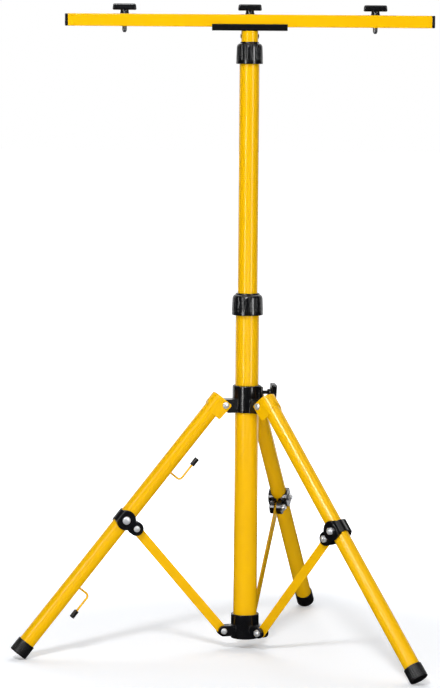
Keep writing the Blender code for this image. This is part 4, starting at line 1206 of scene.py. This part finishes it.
@dataclass
class Studio:
    """A pale floor in a white room, with soft lamps, and the camera."""

    lens: float = 141.2
    sensor_width: float = 36.0
    camera_place: Triple = (-0.0005, -4.3345, 0.9235)
    camera_tilt: float = 5.615
    camera_heading: float = 0.010
    camera_roll: float = 0.0075
    card_width: float = 4.4
    card_height: float = 3.0
    card_front: float = -4.8
    card_back: float = 1.2
    card_lift: float = 0.0005
    highlight_strip_height: float = 2.0
    highlight_strip_lift: float = 0.03
    aim_height: float = 0.45
    # White strips that glow and show only in mirrored rays, as painted highlights: name, place, width and
    # strength.
    highlight_strips: tuple[tuple[str, Pair, float, float], ...] = (
        ("left_highlight_strip", (-1.45, -2.15), 0.17, 32.0), ("right_highlight_strip", (1.9, -2.1), 0.20, 24.0))
    floor_size: float = 60.0
    floor_glow: Pair = (0.31, 1.0)
    floor_fade: Pair = (0.33, 0.85)
    room_light: float = 0.20

    @staticmethod
    def seen(tree: Tree) -> Socket:
        """1 for what the camera sees, also in metal and glass, and 0 for light that falls on things."""
        rays = add_node(tree, "ShaderNodeLightPath").outputs
        gloss = calculated(tree, "MAXIMUM", rays["Is Camera Ray"], rays["Is Glossy Ray"])
        return calculated(tree, "MAXIMUM", gloss, rays["Is Transmission Ray"])

    @staticmethod
    def bare_material(name: str) -> tuple[Material, Tree]:
        """A new node material with nothing in its tree, and the tree."""
        made = bpy.data.materials.new(name)
        made.use_nodes = True
        made.node_tree.nodes.clear()
        return made, made.node_tree

    @staticmethod
    def stage_plane(name: str, cloth: Material, **settings: object) -> Piece:
        """Adds a plane to the studio with the operator's settings."""
        deselect_all()
        bpy.ops.mesh.primitive_plane_add(**settings)
        plane = bpy.context.object
        plane.name = name
        plane.data.materials.append(cloth)
        return plane

    def build_floor(self) -> None:
        """The floor, which keeps the tripod's shadow and runs out to white in the distance."""
        made, tree = self.bare_material("matt_white_floor")
        where = object_place(tree)
        tone = mixed(tree, noise(tree, where, 6.0, 4.0), linear("#E9ECF1"), linear("#E5E8ED"))
        paper = add_node(tree, "ShaderNodeBsdfDiffuse", {"Color": tone})
        distance = add_node(tree, "ShaderNodeVectorMath", {0: where}, operation="LENGTH").outputs["Value"]
        fade = mapped(tree, distance, self.floor_fade, self.floor_glow, interpolation_type="SMOOTHSTEP")
        share = calculated(tree, "MULTIPLY", self.seen(tree), fade)
        glow = add_node(tree, "ShaderNodeEmission", {"Color": linear("#FFFFFF"), "Strength": share})
        both = add_node(tree, "ShaderNodeAddShader", {0: paper.outputs[0], 1: glow.outputs[0]})
        add_node(tree, "ShaderNodeOutputMaterial", {"Surface": both.outputs[0]})
        self.stage_plane("studio_floor", made, size=self.floor_size)

    def build_room(self) -> None:
        """The white room: full white where it is seen, softer as a light."""
        world = bpy.data.worlds.new("white_room")
        world.use_nodes = True
        tree = world.node_tree
        level = mapped(tree, self.seen(tree), (0.0, 1.0), (self.room_light, 1.0))
        tree.links.new(level, tree.nodes["Background"].inputs["Strength"])
        tree.nodes["Background"].inputs["Color"].default_value = linear("#FFFFFF")
        bpy.context.scene.world = world

    def card_material(self, name: str, shade: str, weave_shade: str, strength: float) -> Material:
        """Cloth of two shades in a fine weave, which gives off its own light at this strength."""
        made, tree = self.bare_material(name)
        weave = noise(tree, object_place(tree), 40.0, 3.0)
        tone = mixed(tree, weave, linear(shade), linear(weave_shade))
        light = add_node(tree, "ShaderNodeEmission", {"Color": tone, "Strength": strength})
        add_node(tree, "ShaderNodeOutputMaterial", {"Surface": light.outputs[0]})
        return made

    def build_cards(self) -> None:
        """Black and white cards round the front of the tripod, which only mirrored rays see: the black
        cards are painted dark reflections, and the white strips glow as painted highlights.
        """
        black = self.card_material("black_card", "#0A0A0A", "#141414", 1.0)
        wide, tall = self.card_width, self.card_height
        deep, middle = self.card_back - self.card_front, (self.card_back + self.card_front) / 2
        # The black cards put painted dark reflections where the white floor and room would show in glossy
        # surfaces.
        cards = [
            ("floor_card", black, (0.0, middle, self.card_lift), (wide, deep), (0.0, 0.0)),
            ("front_card", black, (0.0, self.card_front, tall / 2), (wide, tall), (QUARTER, 0.0)),
            ("left_card", black, (-wide / 2, middle, tall / 2), (deep, tall), (QUARTER, QUARTER)),
            ("right_card", black, (wide / 2, middle, tall / 2), (deep, tall), (QUARTER, QUARTER)),
        ]
        # Each white strip glows and shows only in glossy surfaces, as a painted highlight streak; it
        # lights nothing.
        for name, (x, y), width, strength in self.highlight_strips:
            white = self.card_material(name, "#FFFFFF", "#F6F6F6", strength)
            place = (x, y, self.highlight_strip_height / 2 + self.highlight_strip_lift)
            size = (width, self.highlight_strip_height)
            cards.append((name, white, place, size, (QUARTER, math.atan2(-x, y))))
        for name, cloth, place, size, (tilt, turn) in cards:
            card = self.stage_plane(name, cloth, size=1.0, location=place, rotation=(tilt, 0.0, turn))
            card.scale = (*size, 1.0)
            for ray in ("camera", "diffuse", "transmission", "shadow"):
                setattr(card, f"visible_{ray}", False)

    def build_lamp(self, name: str, place: Triple, size: Pair,
                   power: float, mirrored: bool = True) -> None:
        """A soft box that points at the middle of the tripod.

        Args:
            name: The lamp's name.
            place: Where it stands.
            size: Its width and height.
            power: Its power in watts.
            mirrored: Whether glossy surfaces show it.
        """
        deselect_all()
        bpy.ops.object.light_add(type="AREA", location=place)
        lamp = bpy.context.object
        lamp.name = name
        lamp.data.shape = "RECTANGLE"
        lamp.data.size, lamp.data.size_y = size
        lamp.data.energy = power
        lamp.visible_glossy = mirrored
        direction = Vector((0.0, 0.0, self.aim_height)) - Vector(place)
        lamp.rotation_euler = direction.to_track_quat("-Z", "Y").to_euler()

    def build_camera(self) -> None:
        """The camera at the photograph's viewing angle."""
        deselect_all()
        bpy.ops.object.camera_add()
        camera = bpy.context.object
        camera.data.sensor_width = self.sensor_width
        camera.data.lens = self.lens
        camera.matrix_world = (shift(*self.camera_place) @ rotation(self.camera_heading)
                               @ rotation(math.radians(90.0 - self.camera_tilt), "X")
                               @ rotation(self.camera_roll))
        bpy.context.scene.camera = camera

    def build(self) -> None:
        """Builds the whole studio."""
        bpy.context.scene.view_settings.view_transform = "Standard"
        self.build_floor()
        self.build_room()
        self.build_cards()
        self.build_lamp("key", (-0.55, -2.1, 2.3), (0.40, 0.40), 41.0)
        self.build_lamp("front_fill", (0.3, -3.0, 0.30), (1.6, 0.4), 33.0, mirrored=False)
        self.build_lamp("back_soft_box", (0.0, 1.5, 2.6), (1.8, 1.8), 34.0)
        self.build_camera()


def main() -> None:
    """Builds each group in order, then the studio."""
    logging.basicConfig(level=logging.INFO, format="%(name)s %(message)s")
    lower_lock = TwistLock("lower", LAYOUT.mid_radius, skirt_radius=0.0218, wall=0.0035, lip=0.0035,
                           shoulder=0.0100)
    upper_lock = TwistLock("upper", LAYOUT.top_radius, skirt_radius=0.0188, wall=0.0027, lip=0.0015,
                           shoulder=0.0090)
    for group in (Mast(), lower_lock, upper_lock, Head(), Hub(), Legs(), CableHooks(), Studio()):
        LOG.info("building %s", type(group).__name__)
        group.build()
    deselect_all()


if __name__ == "__main__":
    main()
